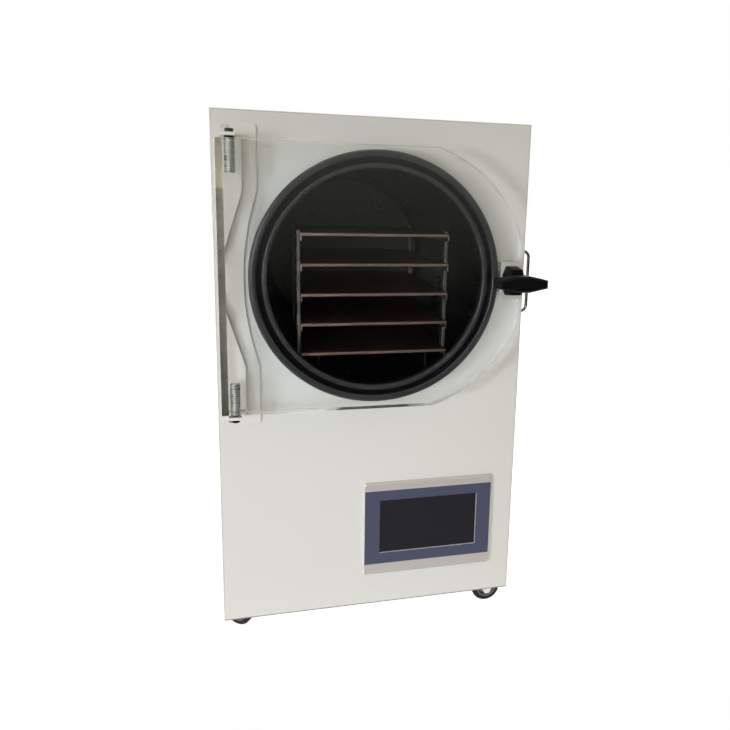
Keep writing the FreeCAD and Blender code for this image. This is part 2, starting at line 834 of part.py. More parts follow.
def hinge_screws():
    """Heads of the screws that fix the bracket to the panel."""
    seat = -bracket_thickness
    return Part.makeCompound([
        regular_y(12, hinge_screw_head, hinge_screw_x, z, seat - hinge_screw_head_height, seat)
        for z in hinge_screw_levels()])


def pivot_bolts():
    """Hexagon-head bolts through the ears, whose shanks are the door's pivots."""
    bolts = []
    for side, door_end in ((1, door_top_z), (-1, door_bottom_z)):
        seat = door_end + side * (ear_gap + ear_thickness)
        tip = door_end - side * pivot_reach
        head = prism_z(6, pivot_head_radius, pivot_x, pivot_y, seat, seat + side * pivot_head_height)
        shank = rod(pivot_radius, vec(pivot_x, pivot_y, seat), vec(pivot_x, pivot_y, tip))
        bolts.append(fuse(head, [shank]))
    return Part.makeCompound(bolts)


def pivot_washers():
    """Eight-sided thrust washers between each ear and the door."""
    rings = []
    for side, door_end in ((1, door_top_z), (-1, door_bottom_z)):
        seat = door_end + side * ear_gap
        face = seat - side * washer_thickness
        ring = prism_z(8, washer_radius, pivot_x, pivot_y, min(seat, face), max(seat, face))
        rings.append(ring.cut(rod_z(pivot_radius, pivot_x, pivot_y, min(seat, face) - 1, max(seat, face) + 1)))
    return Part.makeCompound(rings)


# ---------------------------------------------------------------- latch
def catch_bracket():
    """Plate on the panel with the tapped boss that takes the clamp stud."""
    plate = block(stud_x - catch_width / 2, stud_x + catch_width / 2, -catch_thickness, 0,
                  axis_z - catch_height / 2, axis_z + catch_height / 2)
    plate = plate.makeChamfer(catch_chamfer, edges_where(
        plate, lambda p: at(abs(p.x - stud_x), catch_width / 2) and at(abs(p.z - axis_z), catch_height / 2)))
    boss = regular_y(6, catch_boss_radius, stud_x, axis_z, boss_front_y, -catch_thickness)
    hole = rod_y(stud_radius + stud_thread_room, stud_x, axis_z, boss_front_y - 1, -catch_thickness)
    return cut(fuse(plate, [boss]), [hole])


def clamp_stud():
    """Steel stud moulded into the knob."""
    return rod_y(stud_radius, stud_x, axis_z, stud_end_y, stud_tip_y)


def stud_clip():
    """Thin hexagonal push nut behind the saddle that keeps the knob on the door."""
    y = saddle_back_y + clip_gap
    bore = rod_y(stud_radius, stud_x, axis_z, y - 1, y + clip_thickness + 1)
    return regular_y(6, clip_radius, stud_x, axis_z, y, y + clip_thickness).cut(bore)


def frustum_y(points, x, z, y0, y1, scale):
    """Straight-sided plug along Y whose outline shrinks to a scale at its far end."""
    near = [vec(x + dx, y0, z + dz) for dx, dz in points]
    far = [vec(x + dx * scale, y1, z + dz * scale) for dx, dz in points]
    count = len(points)
    faces = [polygon_face(near), polygon_face(far)]
    for i in range(count):
        j = (i + 1) % count
        faces.append(polygon_face([near[i], near[j], far[j], far[i]]))
    solid = Part.Solid(Part.Shell(faces))
    return solid if solid.Volume > 0 else solid.reversed()


def clamp_knob():
    """Moulded wing knob: a tapered eight-sided hub under a bar that narrows to both tips."""
    sides = [(hub_flat, hub_half_height), (hub_half_width, hub_flat), (hub_half_width, -hub_flat),
             (hub_flat, -hub_half_height), (-hub_flat, -hub_half_height), (-hub_half_width, -hub_flat),
             (-hub_half_width, hub_flat), (-hub_flat, hub_half_height)]
    hub = frustum_y(sides, stud_x, axis_z, knob_back_y, wing_back_y, hub_taper)
    half = wing_half_length
    outline = [(-half, -wing_tip_half_height), (-wing_shoulder, -wing_half_height),
               (wing_shoulder, -wing_half_height), (half, -wing_tip_half_height),
               (half, wing_tip_half_height), (wing_shoulder, wing_half_height),
               (-wing_shoulder, wing_half_height), (-half, wing_tip_half_height)]
    wing = prism_y([(stud_x + x, axis_z + z) for x, z in outline], wing_front_y, wing_back_y)
    wing = wing.makeChamfer(wing_edge, edges_where(wing, lambda p: at(p.y, wing_front_y)))
    bore = rod_y(stud_radius, stud_x, axis_z, stud_end_y, knob_back_y + 1)
    return fuse(wing, [hub]).cut(bore)


# ---------------------------------------------------------------- side handle
def side_handle():
    """Bent stainless rod on the right side; each bend is one short mitred length."""
    y = handle_y
    z0 = handle_centre_z - handle_pitch / 2
    z1 = handle_centre_z + handle_pitch / 2
    corner = handle_bend * (2 - math.sqrt(2))
    points = [vec(half_width, y, z0), vec(handle_x - corner, y, z0), vec(handle_x, y, z0 + corner),
              vec(handle_x, y, z1 - corner), vec(handle_x - corner, y, z1), vec(half_width, y, z1)]
    ring = Part.Wire([Part.makeCircle(handle_rod_radius, points[0], vec(1, 0, 0))])
    return Part.makePolygon(points).makePipeShell([ring], True, False, 1)


# ---------------------------------------------------------------- touch panel
def screen_block(y0, y1):
    return block(hmi_x - screen_width / 2, hmi_x + screen_width / 2, y0, y1,
                 screen_centre_z - screen_height / 2, screen_centre_z + screen_height / 2)


def overlay_block(y0, y1):
    side = hmi_width / 2 - hmi_side_line
    return block(hmi_x - side, hmi_x + side, y0, y1, hmi_centre_z - hmi_height / 2 + hmi_bottom_strip,
                 hmi_centre_z + hmi_height / 2 - hmi_top_strip)


def hmi_bezel():
    """Front frame of the touch panel with pockets for the overlay and the screen."""
    y0 = -hmi_thickness
    frame = block(hmi_x - hmi_width / 2, hmi_x + hmi_width / 2, y0, 0,
                  hmi_centre_z - hmi_height / 2, hmi_centre_z + hmi_height / 2)
    frame = frame.makeChamfer(hmi_corner, edges_where(
        frame, lambda p: at(abs(p.x - hmi_x), hmi_width / 2) and at(abs(p.z - hmi_centre_z), hmi_height / 2)))
    frame = frame.makeChamfer(hmi_edge, edges_where(frame, lambda p: at(p.y, y0)))
    ridge_z = hmi_centre_z + hmi_height / 2 - hmi_top_strip / 2
    ridge = block(hmi_x - hmi_width / 2 - 1, hmi_x + hmi_width / 2 + 1, y0 - 1, y0 + hmi_ridge_depth,
                  ridge_z - hmi_ridge_width / 2, ridge_z + hmi_ridge_width / 2)
    return cut(frame, [overlay_block(y0 - 1, y0 + hmi_overlay_thickness),
                       screen_block(y0 - 1, y0 + screen_recess + screen_thickness), ridge])


def hmi_overlay():
    """Blue-grey field round the screen."""
    y0 = -hmi_thickness
    return overlay_block(y0, y0 + hmi_overlay_thickness).cut(
        screen_block(y0 - 1, y0 + hmi_overlay_thickness + 1))


def hmi_screen():
    y0 = -hmi_thickness + screen_recess
    return screen_block(y0, y0 + screen_thickness)


def hmi_housing():
    """Electronics housing behind the front panel."""
    shell = block(hmi_x - housing_width / 2, hmi_x + housing_width / 2, 0, housing_depth,
                  hmi_centre_z - housing_height / 2, hmi_centre_z + housing_height / 2)
    return shell.makeChamfer(housing_bevel, edges_where(shell, lambda p: at(p.y, housing_depth)))


# ---------------------------------------------------------------- lower bay
def compressor_foot_centres():
    return [(compressor_x + i * foot_pitch_x / 2, compressor_y + j * foot_pitch_y / 2)
            for i in (-1, 1) for j in (-1, 1)]


def compressor():
    """Hermetic compressor: welded pot with a domed top on a foot plate, and its terminal cover."""
    z0 = floor_z + grommet_height
    plate = block(compressor_x - foot_plate_x / 2, compressor_x + foot_plate_x / 2,
                  compressor_y - foot_plate_y / 2, compressor_y + foot_plate_y / 2, z0, z0 + foot_plate)
    z1 = z0 + foot_plate
    shoulder = z1 + compressor_body
    pot = turned_z([
        (0, z1), (compressor_radius, z1), (compressor_radius, shoulder),
        (compressor_dome_flat, shoulder + compressor_dome), (0, shoulder + compressor_dome),
    ], compressor_x, compressor_y)
    front = compressor_y - compressor_radius - terminal_depth
    cover = block(compressor_x - terminal_width / 2, compressor_x + terminal_width / 2,
                  front, compressor_y, z1 + terminal_lift, z1 + terminal_lift + terminal_height)
    return fuse(pot, [plate, cover])


def compressor_feet():
    """Rubber blocks between the tray and the foot plate."""
    half = grommet_size / 2
    return Part.makeCompound([
        block(x - half, x + half, y - half, y + half, floor_z, floor_z + grommet_height)
        for x, y in compressor_foot_centres()])


def condenser_coil():
    """Flat-tube condenser in front of the fan: level tubes between two upright headers."""
    x0 = fan_x - condenser_width / 2
    x1 = fan_x + condenser_width / 2
    y0 = condenser_back_y - condenser_depth
    top = floor_z + condenser_height
    headers = [block(x, x + condenser_header, y0, condenser_back_y, floor_z, top)
               for x in (x0, x1 - condenser_header)]
    room = condenser_height - 2 * condenser_end_room - condenser_tube_thickness
    pitch = room / (condenser_tube_count - 1)
    tubes = []
    for i in range(condenser_tube_count):
        z = floor_z + condenser_end_room + i * pitch
        tubes.append(block(x0 + condenser_header, x1 - condenser_header, y0, condenser_back_y,
                           z, z + condenser_tube_thickness))
    return fuse(headers[0], headers[1:] + tubes)


def filter_drier():
    """Copper drier lying against the condenser's inner header."""
    end = fan_x - condenser_width / 2
    y = condenser_back_y - condenser_depth / 2
    z = floor_z + drier_rise
    face = polygon_face([vec(end, y + dy, z + dz) for dy, dz in ring_corners(12, drier_radius)])
    return face.extrude(vec(-drier_length, 0, 0))


def fan_shroud():
    """Square fan frame with a round opening, three struts, the motor and its shaft."""
    half = shroud_size / 2
    frame = block(fan_x - half, fan_x + half, shroud_front_y, shroud_back_y, fan_z - half, fan_z + half)
    frame = frame.makeChamfer(shroud_corner, edges_where(
        frame, lambda p: at(abs(p.x - fan_x), half) and at(abs(p.z - fan_z), half)))
    frame = frame.cut(rod_y(fan_opening, fan_x, fan_z, shroud_front_y - 1, shroud_back_y + 1))
    side = motor_size / 2
    motor = block(fan_x - side, fan_x + side, motor_front_y, shroud_back_y, fan_z - side, fan_z + side)
    shaft = rod_y(shaft_radius, fan_x, fan_z, rotor_front_y + rotor_gap, motor_front_y)
    pieces = [motor, shaft]
    for i in range(strut_count):
        strut = block(fan_x - strut_width / 2, fan_x + strut_width / 2, shroud_back_y - strut_thickness,
                      shroud_back_y, fan_z + side / 2, fan_z + fan_opening + 3)
        strut.rotate(vec(fan_x, 0, fan_z), vec(0, 1, 0), i * 360.0 / strut_count)
        pieces.append(strut)
    return fuse(frame, pieces)


def fan_rotor():
    """Hub with pitched blades that turns on the motor shaft."""
    hub = regular_y(2 * blade_count, rotor_hub_radius, fan_x, fan_z, rotor_front_y, rotor_back_y)
    y = (rotor_front_y + rotor_back_y) / 2
    blades = []
    for i in range(blade_count):
        blade = block(-blade_chord / 2, blade_chord / 2, -blade_thickness / 2, blade_thickness / 2,
                      rotor_hub_radius - 3, blade_reach)
        blade.rotate(vec(0, 0, 0), vec(0, 0, 1), blade_pitch_angle)
        blade.rotate(vec(0, 0, 0), vec(0, 1, 0), i * 360.0 / blade_count)
        blades.append(blade.translated(vec(fan_x, y, fan_z)))
    bore = rod_y(shaft_radius + shaft_clearance, fan_x, fan_z, rotor_front_y - 1, rotor_back_y + 1)
    return cut(fuse(hub, blades), [bore])


def electrical_box():
    """Control box on the tray, with an overlapping lid edge."""
    x0 = box_x - box_width / 2
    x1 = box_x + box_width / 2
    y0 = box_y - box_depth / 2
    y1 = box_y + box_depth / 2
    z1 = floor_z + box_height
    case = block(x0, x1, y0, y1, floor_z, z1)
    lid = block(x0 - box_lid, x1 + box_lid, y0 - box_lid, y1 + box_lid, z1 - box_lid_height, z1)
    inside = block(x0 + sheet, x1 - sheet, y0 + sheet, y1 - sheet, floor_z - 1, z1 - sheet)
    return fuse(case, [lid]).cut(inside)


# ---------------------------------------------------------------- power inlet and switch
def power_inlet():
    """Combined socket and switch housing in the rear panel."""
    y = cabinet_depth
    flange = block(inlet_x - inlet_flange_x / 2, inlet_x + inlet_flange_x / 2, y, y + inlet_flange,
                   inlet_centre_z - inlet_flange_z / 2, inlet_centre_z + inlet_flange_z / 2)
    body = block(inlet_x - inlet_body_x / 2, inlet_x + inlet_body_x / 2, y - inlet_body_depth, y,
                 inlet_centre_z - inlet_body_z / 2, inlet_centre_z + inlet_body_z / 2)
    plug_z = inlet_centre_z - plug_recess_drop
    floor_y = y + inlet_flange - plug_recess_depth
    recess = block(inlet_x - plug_recess_x / 2, inlet_x + plug_recess_x / 2, floor_y,
                   y + inlet_flange + 1, plug_z - plug_recess_z / 2, plug_z + plug_recess_z / 2)
    well = block(inlet_x - rocker_half_x - rocker_gap, inlet_x + rocker_half_x + rocker_gap,
                 y + inlet_flange - rocker_well, y + inlet_flange + 1,
                 rocker_z - rocker_half_z - rocker_end_gap, rocker_z + rocker_half_z + rocker_end_gap)
    reach = rocker_half_x + rocker_gap + rocker_pin_reach
    room = rocker_pivot_radius + rocker_pivot_clearance
    notch = block(inlet_x - reach, inlet_x + reach, y - rocker_pivot_depth - room,
                  y - rocker_pivot_depth + room, rocker_z - room, rocker_z + room)
    solid = cut(fuse(body, [flange]), [recess, well, notch])
    pins = [block(inlet_x + dx - pin_thickness / 2, inlet_x + dx + pin_thickness / 2, floor_y - 1,
                  floor_y + pin_length, plug_z + dz - pin_height / 2, plug_z + dz + pin_height / 2)
            for dx, dz in ((-pin_pitch, -2.0), (0.0, 2.0), (pin_pitch, -2.0))]
    return fuse(solid, pins)


def power_switch():
    """Rocker with a shallow V face, on two short pivot pins, tipped to its off side."""
    y = cabinet_depth
    half = rocker_half_z
    profile = [(-half, -2.0), (-half, 3.4), (0.0, 2.0), (half, 3.4), (half, -2.0), (3.0, -7.0), (-3.0, -7.0)]
    face = polygon_face([vec(inlet_x - rocker_half_x, y + d, rocker_z + z) for z, d in profile])
    rocker = face.extrude(vec(2 * rocker_half_x, 0, 0))
    reach = rocker_half_x + rocker_gap + rocker_pin_reach - rocker_gap
    pins = rod(rocker_pivot_radius, vec(inlet_x - reach, y - rocker_pivot_depth, rocker_z),
               vec(inlet_x + reach, y - rocker_pivot_depth, rocker_z))
    rocker = fuse(rocker, [pins])
    rocker.rotate(vec(inlet_x, y - rocker_pivot_depth, rocker_z), vec(1, 0, 0), -rocker_tilt)
    return rocker


# ---------------------------------------------------------------- drain valve
def drain_valve():
    """Ball-valve body brazed on the end of the drain stub, with a hose tail."""
    half = valve_radius
    body = block(axis_x - half, axis_x + half, valve_y0, valve_y1, drain_z - half, drain_z + half)
    tail = rod_y(tail_radius, axis_x, drain_z, valve_y1, valve_y1 + tail_length)
    return cut(fuse(body, [tail]), [
        rod_y(valve_bore, axis_x, drain_z, valve_y0 - 1, valve_y1 + tail_length + 1),
        rod_z(stem_radius + stem_clearance, axis_x, valve_stem_y,
              drain_z + valve_bore + stem_floor, drain_z + 2 * valve_radius)])


def drain_lever():
    """Quarter-turn lever on its stem, shown shut, across the pipe."""
    bottom = drain_z + valve_bore + stem_floor + stem_end_gap
    stem = rod_z(stem_radius, axis_x, valve_stem_y, bottom, lever_z)
    bar = block(axis_x - lever_width, axis_x + lever_length, valve_stem_y - lever_width / 2,
                valve_stem_y + lever_width / 2, lever_z, lever_z + lever_thickness)
    return fuse(bar, [stem])


# ---------------------------------------------------------------- casters
def caster_plates():
    """Four top plates, each with its race and the kingpin that the fork turns on."""
    solids = []
    half = caster_plate_size / 2
    seat = base_z - caster_plate
    pin_end = fork_top_z - fork_plate
    for x, y in caster_places.values():
        plate = block(x - half, x + half, y - half, y + half, seat, base_z)
        race = prism_z(race_sides, race_radius, x, y, seat - race_height, seat)
        solids.append(fuse(plate, [race, rod_z(kingpin_radius, x, y, pin_end, seat)]))
    return Part.makeCompound(solids)


def caster_bolts():
    """Hexagon heads of the bolts that hold each plate under the tray."""
    seat = base_z - caster_plate
    return Part.makeCompound([prism_z(6, caster_bolt_head, x, y, seat - caster_bolt_head_height, seat)
                              for x, y in caster_bolt_centres()])


def placed_caster(solid, corner):
    """Turn a caster piece made about the swivel axis to its trail angle and set it in place."""
    x, y = caster_places[corner]
    turned = solid.copy()
    turned.rotate(vec(0, 0, 0), vec(0, 0, 1), trail_angles[corner])
    return turned.translated(vec(x, y, 0))


def caster_fork():
    """Pressed fork with its axle, trailing along +X from the swivel axis at the origin."""
    z1 = fork_top_z
    z0 = fork_top_z - fork_plate
    wide = fork_inner + fork_leg
    plate = block(-fork_plate_rear, fork_plate_front, -wide, wide, z0, z1)
    pieces = []
    for side in (-1, 1):
        y_in = side * fork_inner
        outline = [(-fork_plate_rear, z1), (fork_plate_front, z1), (caster_trail + axle_boss, wheel_radius),
                   (caster_trail + axle_boss / 2, wheel_radius - axle_boss),
                   (caster_trail - axle_boss / 2, wheel_radius - axle_boss),
                   (caster_trail - axle_boss, wheel_radius), (-fork_plate_rear, z0 - fork_plate)]
        face = polygon_face([vec(x, y_in, z) for x, z in outline])
        pieces.append(face.extrude(vec(0, side * fork_leg, 0)))
    pieces.append(rod(axle_radius, vec(caster_trail, -fork_inner, wheel_radius),
                      vec(caster_trail, fork_inner, wheel_radius)))
    fork = fuse(plate, pieces)
    return fork.cut(rod_z(kingpin_radius + kingpin_clearance, 0, 0, z0 - 1, z1 + 1))


def hub_prism(reach):
    """The hub's keyed outline, extruded to a reach on both sides of the wheel's middle."""
    corners = [vec(caster_trail + dx, -reach, wheel_radius + dz)
               for dx, dz in ring_corners(hub_sides, hub_radius)]
    return polygon_face(corners).extrude(vec(0, 2 * reach, 0))


def caster_hub():
    """Moulded hub whose flats key the tyre."""
    bore = rod(axle_radius + axle_clearance, vec(caster_trail, -tyre_width, wheel_radius),
               vec(caster_trail, tyre_width, wheel_radius))
    return hub_prism(tyre_width / 2).cut(bore)


def caster_tyre():
    """Rubber tread round the hub."""
    half = tyre_width / 2
    tread = rod(wheel_radius, vec(caster_trail, -half, wheel_radius), vec(caster_trail, half, wheel_radius))
    return tread.cut(hub_prism(tyre_width))


# ---------------------------------------------------------------- assembly
parts = {
    "base_tray": base_tray(),
    "front_panel": front_panel(),
    "side_panel_left": side_panel(-1),
    "side_panel_right": side_panel(1),
    "top_panel": top_panel(),
    "rear_panel": rear_panel(),
    "chamber_shell": chamber_shell(),
    "chamber_gasket": chamber_gasket(),
    "chamber_insulation": chamber_insulation(),
    "evaporator_coil": evaporator_coil(),
    "vacuum_port": vacuum_port(),
    "rack_posts": rack_posts(),
    "rack_rails": rack_rails(),
    "shelf_heaters": shelf_heaters(),
    "door_panel": door_panel(),
    "hinge_sleeves": hinge_sleeves(),
    "clamp_saddle": clamp_saddle(),
    "hinge_bracket": hinge_bracket(),
    "hinge_screws": hinge_screws(),
    "pivot_bolts": pivot_bolts(),
    "pivot_washers": pivot_washers(),
    "catch_bracket": catch_bracket(),
    "clamp_knob": clamp_knob(),
    "clamp_stud": clamp_stud(),
    "stud_clip": stud_clip(),
    "side_handle": side_handle(),
    "hmi_bezel": hmi_bezel(),
    "hmi_overlay": hmi_overlay(),
    "hmi_screen": hmi_screen(),
    "hmi_housing": hmi_housing(),
    "compressor": compressor(),
    "compressor_feet": compressor_feet(),
    "condenser_coil": condenser_coil(),
    "filter_drier": filter_drier(),
    "fan_shroud": fan_shroud(),
    "fan_rotor": fan_rotor(),
    "electrical_box": electrical_box(),
    "power_inlet": power_inlet(),
    "power_switch": power_switch(),
    "drain_valve": drain_valve(),
    "drain_lever": drain_lever(),
    "caster_plates": caster_plates(),
    "caster_bolts": caster_bolts(),
}
for number, level in enumerate(shelf_levels, start=1):
    parts["shelf_plate_%d" % number] = shelf_plate(level)
for corner in caster_places:
    parts["caster_fork_" + corner] = placed_caster(caster_fork(), corner)
    parts["caster_hub_" + corner] = placed_caster(caster_hub(), corner)
    parts["caster_tyre_" + corner] = placed_caster(caster_tyre(), corner)

# The origin is on the floor, under the middle of the whole machine's outline.
extent = Part.makeCompound(list(parts.values())).optimalBoundingBox(False, False)
origin = vec((extent.XMin + extent.XMax) / 2, (extent.YMin + extent.YMax) / 2, 0)

os.makedirs("parts", exist_ok=True)
for name, shape in parts.items():
    shape.translated(origin.negative()).exportStep(os.path.join("parts", name + ".step"))
print("pieces:", len(parts), "size:", round(extent.XLength, 1), round(extent.YLength, 1),
      round(extent.ZLength, 1), "lowest:", round(extent.ZMin, 3))
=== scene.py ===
import math
import bmesh
import bpy
from mathutils import Matrix, Vector


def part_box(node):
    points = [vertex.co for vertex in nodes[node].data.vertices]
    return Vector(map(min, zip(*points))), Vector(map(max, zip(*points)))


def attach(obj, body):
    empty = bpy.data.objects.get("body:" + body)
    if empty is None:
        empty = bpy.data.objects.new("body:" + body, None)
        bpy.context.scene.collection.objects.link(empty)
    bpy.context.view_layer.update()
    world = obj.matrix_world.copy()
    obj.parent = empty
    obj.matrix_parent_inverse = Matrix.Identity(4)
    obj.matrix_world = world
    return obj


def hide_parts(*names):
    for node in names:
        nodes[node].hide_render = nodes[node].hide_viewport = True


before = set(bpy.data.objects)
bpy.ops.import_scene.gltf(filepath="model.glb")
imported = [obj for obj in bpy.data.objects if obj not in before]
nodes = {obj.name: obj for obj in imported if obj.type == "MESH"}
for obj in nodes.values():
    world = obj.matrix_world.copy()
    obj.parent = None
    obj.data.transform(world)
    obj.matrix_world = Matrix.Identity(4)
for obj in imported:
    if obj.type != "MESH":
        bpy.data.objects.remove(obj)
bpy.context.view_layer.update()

# ---------------------------------------------------------------- cabinet sheets
# Folded and powder-coated steel sheets: the front with its return folds, two louvred sides,
# a lid, a rear sheet and the tray that carries the lower bay.  The coat has a fine orange peel.


def node_in(tree, kind, *inputs, **named):
    """A node with its settings (small letters) made and its inputs set, or linked from outputs."""
    made = tree.nodes.new(kind)
    for name, value in named.items():
        if name.islower():
            setattr(made, name, value)
    sockets = [(name.replace("_", " "), value) for name, value in named.items() if not name.islower()]
    for key, value in [*enumerate(inputs), *sockets]:
        if isinstance(value, bpy.types.NodeSocket):
            tree.links.new(value, made.inputs[key])
        else:
            made.inputs[key].default_value = value
    return made


def math_of(tree, operation, *inputs):
    """What a math node gives for its inputs."""
    return node_in(tree, "ShaderNodeMath", *inputs, operation=operation).outputs[0]


def vector_of(tree, operation, *inputs, **named):
    """What a vector math node gives for its inputs."""
    return node_in(tree, "ShaderNodeVectorMath", *inputs, operation=operation, **named).outputs[0]


def effect(name, takes, gives):
    """An empty shader node group with named inputs and outputs, and the sockets that it works between."""
    tree = bpy.data.node_groups.new(name, "ShaderNodeTree")
    kinds = {1: "NodeSocketFloat", 3: "NodeSocketVector", 4: "NodeSocketColor"}
    for label, value in takes.items():
        size = len(value) if isinstance(value, tuple) else 1
        socket = tree.interface.new_socket(label, in_out="INPUT", socket_type=kinds[size])
        socket.default_value = value
    for label, size in gives.items():
        tree.interface.new_socket(label, in_out="OUTPUT", socket_type=kinds[size])
    return tree, tree.nodes.new("NodeGroupInput").outputs, tree.nodes.new("NodeGroupOutput").inputs


def surface_grain_group():
    """Fine grain and broad mottling: a colour, a roughness and a height that vary over a surface."""
    tree, given, out = effect("surface grain", {
        "Color": (0.8, 0.8, 0.8, 1.0), "Shade": 0.05, "Roughness": 0.4, "Spread": 0.1,
        "Fine": 900.0, "Broad": 12.0, "Stretch": (1.0, 1.0, 1.0)}, {"Color": 4, "Roughness": 1, "Height": 1})
    where = tree.nodes.new("ShaderNodeTexCoord").outputs["Object"]
    stretched = vector_of(tree, "MULTIPLY", where, given["Stretch"])
    fine = node_in(tree, "ShaderNodeTexNoise", Vector=stretched, Scale=given["Fine"], Detail=3.0,
                   Roughness=0.6)
    broad = node_in(tree, "ShaderNodeTexNoise", Vector=where, Scale=given["Broad"], Detail=4.0,
                    Roughness=0.55)
    both = math_of(tree, "ADD", fine.outputs["Fac"], broad.outputs["Fac"])
    centred = math_of(tree, "SUBTRACT", both, 1.0)
    tone = math_of(tree, "MULTIPLY_ADD", centred, given["Shade"], 1.0)
    rough = math_of(tree, "MULTIPLY_ADD", centred, given["Spread"], given["Roughness"])
    tree.links.new(vector_of(tree, "SCALE", given["Color"], Scale=tone), out["Color"])
    tree.links.new(rough, out["Roughness"])
    tree.links.new(fine.outputs["Fac"], out["Height"])
    return tree


def dust_group():
    """Pale dust that gathers in patches on faces that look up."""
    tree, given, out = effect("settled dust", {
        "Color": (0.5, 0.5, 0.5, 1.0), "Roughness": 0.4, "Dust": (0.62, 0.60, 0.56, 1.0), "Amount": 0.3},
        {"Color": 4, "Roughness": 1})
    where = tree.nodes.new("ShaderNodeTexCoord").outputs
    facing = node_in(tree, "ShaderNodeSeparateXYZ", where["Normal"]).outputs
    patches = node_in(tree, "ShaderNodeTexNoise", Vector=where["Object"], Scale=38.0, Detail=6.0,
                      Roughness=0.7)
    up = node_in(tree, "ShaderNodeMapRange", facing["Z"], From_Min=0.2).outputs[0]
    thick = math_of(tree, "MULTIPLY", up, patches.outputs["Fac"])
    amount = math_of(tree, "MULTIPLY", thick, given["Amount"])
    colour = node_in(tree, "ShaderNodeMix", data_type="RGBA", Factor=amount, A=given["Color"],
                     B=given["Dust"])
    rough = node_in(tree, "ShaderNodeMix", Factor=amount, A=given["Roughness"], B=0.95)
    tree.links.new(colour.outputs["Result"], out["Color"])
    tree.links.new(rough.outputs["Result"], out["Roughness"])
    return tree


surface_grain = surface_grain_group()
settled_dust = dust_group()


def new_material(name):
    """A material, its node tree and its Principled shader."""
    material = bpy.data.materials.new(name)
    material.use_nodes = True
    tree = material.node_tree
    return material, tree, tree.nodes["Principled BSDF"]


def finish(name, colour, roughness, metallic=0.0, shade=0.05, spread=0.08, fine=900.0, broad=12.0,
           stretch=(1.0, 1.0, 1.0), depth=0.00002, dust=0.0, **sockets):
    """A procedural finish: grain, mottling, bump and, where asked, dust on a Principled surface."""
    material, tree, shader = new_material(name)
    shader.inputs["Metallic"].default_value = metallic
    for socket, value in sockets.items():
        shader.inputs[socket.replace("_", " ")].default_value = value
    grain = node_in(tree, "ShaderNodeGroup", node_tree=surface_grain, Color=(*colour, 1.0), Shade=shade,
                    Roughness=roughness, Spread=spread, Fine=fine, Broad=broad, Stretch=stretch).outputs
    last = grain
    if dust:
        last = node_in(tree, "ShaderNodeGroup", node_tree=settled_dust, Color=grain["Color"],
                       Roughness=grain["Roughness"], Amount=dust).outputs
    bump = node_in(tree, "ShaderNodeBump", Strength=1.0, Distance=depth, Height=grain["Height"])
    tree.links.new(last["Color"], shader.inputs["Base Color"])
    tree.links.new(last["Roughness"], shader.inputs["Roughness"])
    tree.links.new(bump.outputs["Normal"], shader.inputs["Normal"])
    return material


def dress(node, material):
    """Give a CAD node that keeps its shape its finish."""
    data = nodes[node].data
    data.materials.clear()
    data.materials.append(material)


powder_coat = finish("powder coat", (0.750, 0.742, 0.712), 0.34, shade=0.025, spread=0.05, fine=650.0,
                     broad=5.0, depth=0.000012, Specular_IOR_Level=0.45)
for sheet in ("side_panel_left", "side_panel_right", "top_panel", "rear_panel", "base_tray"):
    dress(sheet, powder_coat)

panel_low, panel_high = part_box("front_panel")
RIM_SHADE = 0.34             # how dark the painted shade makes the coat where it turns into the return folds
RIM_START, RIM_END = 0.0010, 0.0022      # from the outline inwards


def recoloured(material, change):
    """Pass a finish's grained colour through a change on its way to the surface."""
    tree = material.node_tree
    grain = next(node for node in tree.nodes if node.type == "GROUP")
    tree.links.new(change(tree, grain.outputs["Color"]), tree.nodes["Principled BSDF"].inputs["Base Color"])


def painted_rim_shade(tree, colour):
    """A thin painted shade line along the outline of the front, on the faces that look forward, where the
    folds turn away from the light.
    """
    where = tree.nodes.new("ShaderNodeTexCoord").outputs
    off_middle = vector_of(tree, "SUBTRACT", where["Object"], (panel_low + panel_high) / 2)
    away = vector_of(tree, "ABSOLUTE", off_middle)
    inward = vector_of(tree, "SUBTRACT", (panel_high - panel_low) / 2, away)
    parts = node_in(tree, "ShaderNodeSeparateXYZ", inward).outputs
    nearest = math_of(tree, "MINIMUM", parts["X"], parts["Z"])
    rim = node_in(tree, "ShaderNodeMapRange", nearest, RIM_START, RIM_END, RIM_SHADE, 1.0)
    facing = node_in(tree, "ShaderNodeSeparateXYZ", where["Normal"]).outputs
    turned_away = node_in(tree, "ShaderNodeMapRange", facing["Y"], -0.98, -0.90, 0.0, 1.0)
    level = math_of(tree, "MAXIMUM", rim.outputs[0], turned_away.outputs[0])
    return vector_of(tree, "SCALE", colour, Scale=level)


# Painted shade: the front's coat is darkened in a thin line along its outline.
painted_rim_shade_coat = powder_coat.copy()
painted_rim_shade_coat.name = "rimmed powder coat"
recoloured(painted_rim_shade_coat, painted_rim_shade)
dress("front_panel", painted_rim_shade_coat)


def shaded(mesh, angle=35.0):
    """Smooth shading that breaks at real edges."""
    mesh.polygons.foreach_set("use_smooth", [True] * len(mesh.polygons))
    mesh.set_sharp_from_angle(angle=math.radians(angle))


def linked(name, data):
    """An object with its data, linked to the scene."""
    made = bpy.data.objects.new(name, data)
    bpy.context.scene.collection.objects.link(made)
    return made


def mesh_piece(name, work, material, angle):
    """A mesh object from a bmesh as it is, at the origin."""
    mesh = bpy.data.meshes.new(name)
    work.to_mesh(mesh)
    work.free()
    mesh.materials.append(material)
    shaded(mesh, angle)
    return linked(name, mesh)


def new_piece(name, work, material, angle=35.0):
    """A mesh object from a bmesh whose faces are first turned outwards."""
    bmesh.ops.recalc_face_normals(work, faces=work.faces)
    return mesh_piece(name, work, material, angle)


def skinned(work, rings, gaps=()):
    """Faces between each closed ring of vertices and the next, but for the places in gaps."""
    faces = []
    for ring, after in zip(rings, rings[1:]):
        for j in range(len(ring)):
            k = (j + 1) % len(ring)
            if j not in gaps:
                faces.append(work.faces.new((ring[j], ring[k], after[k], after[j])))
    return faces


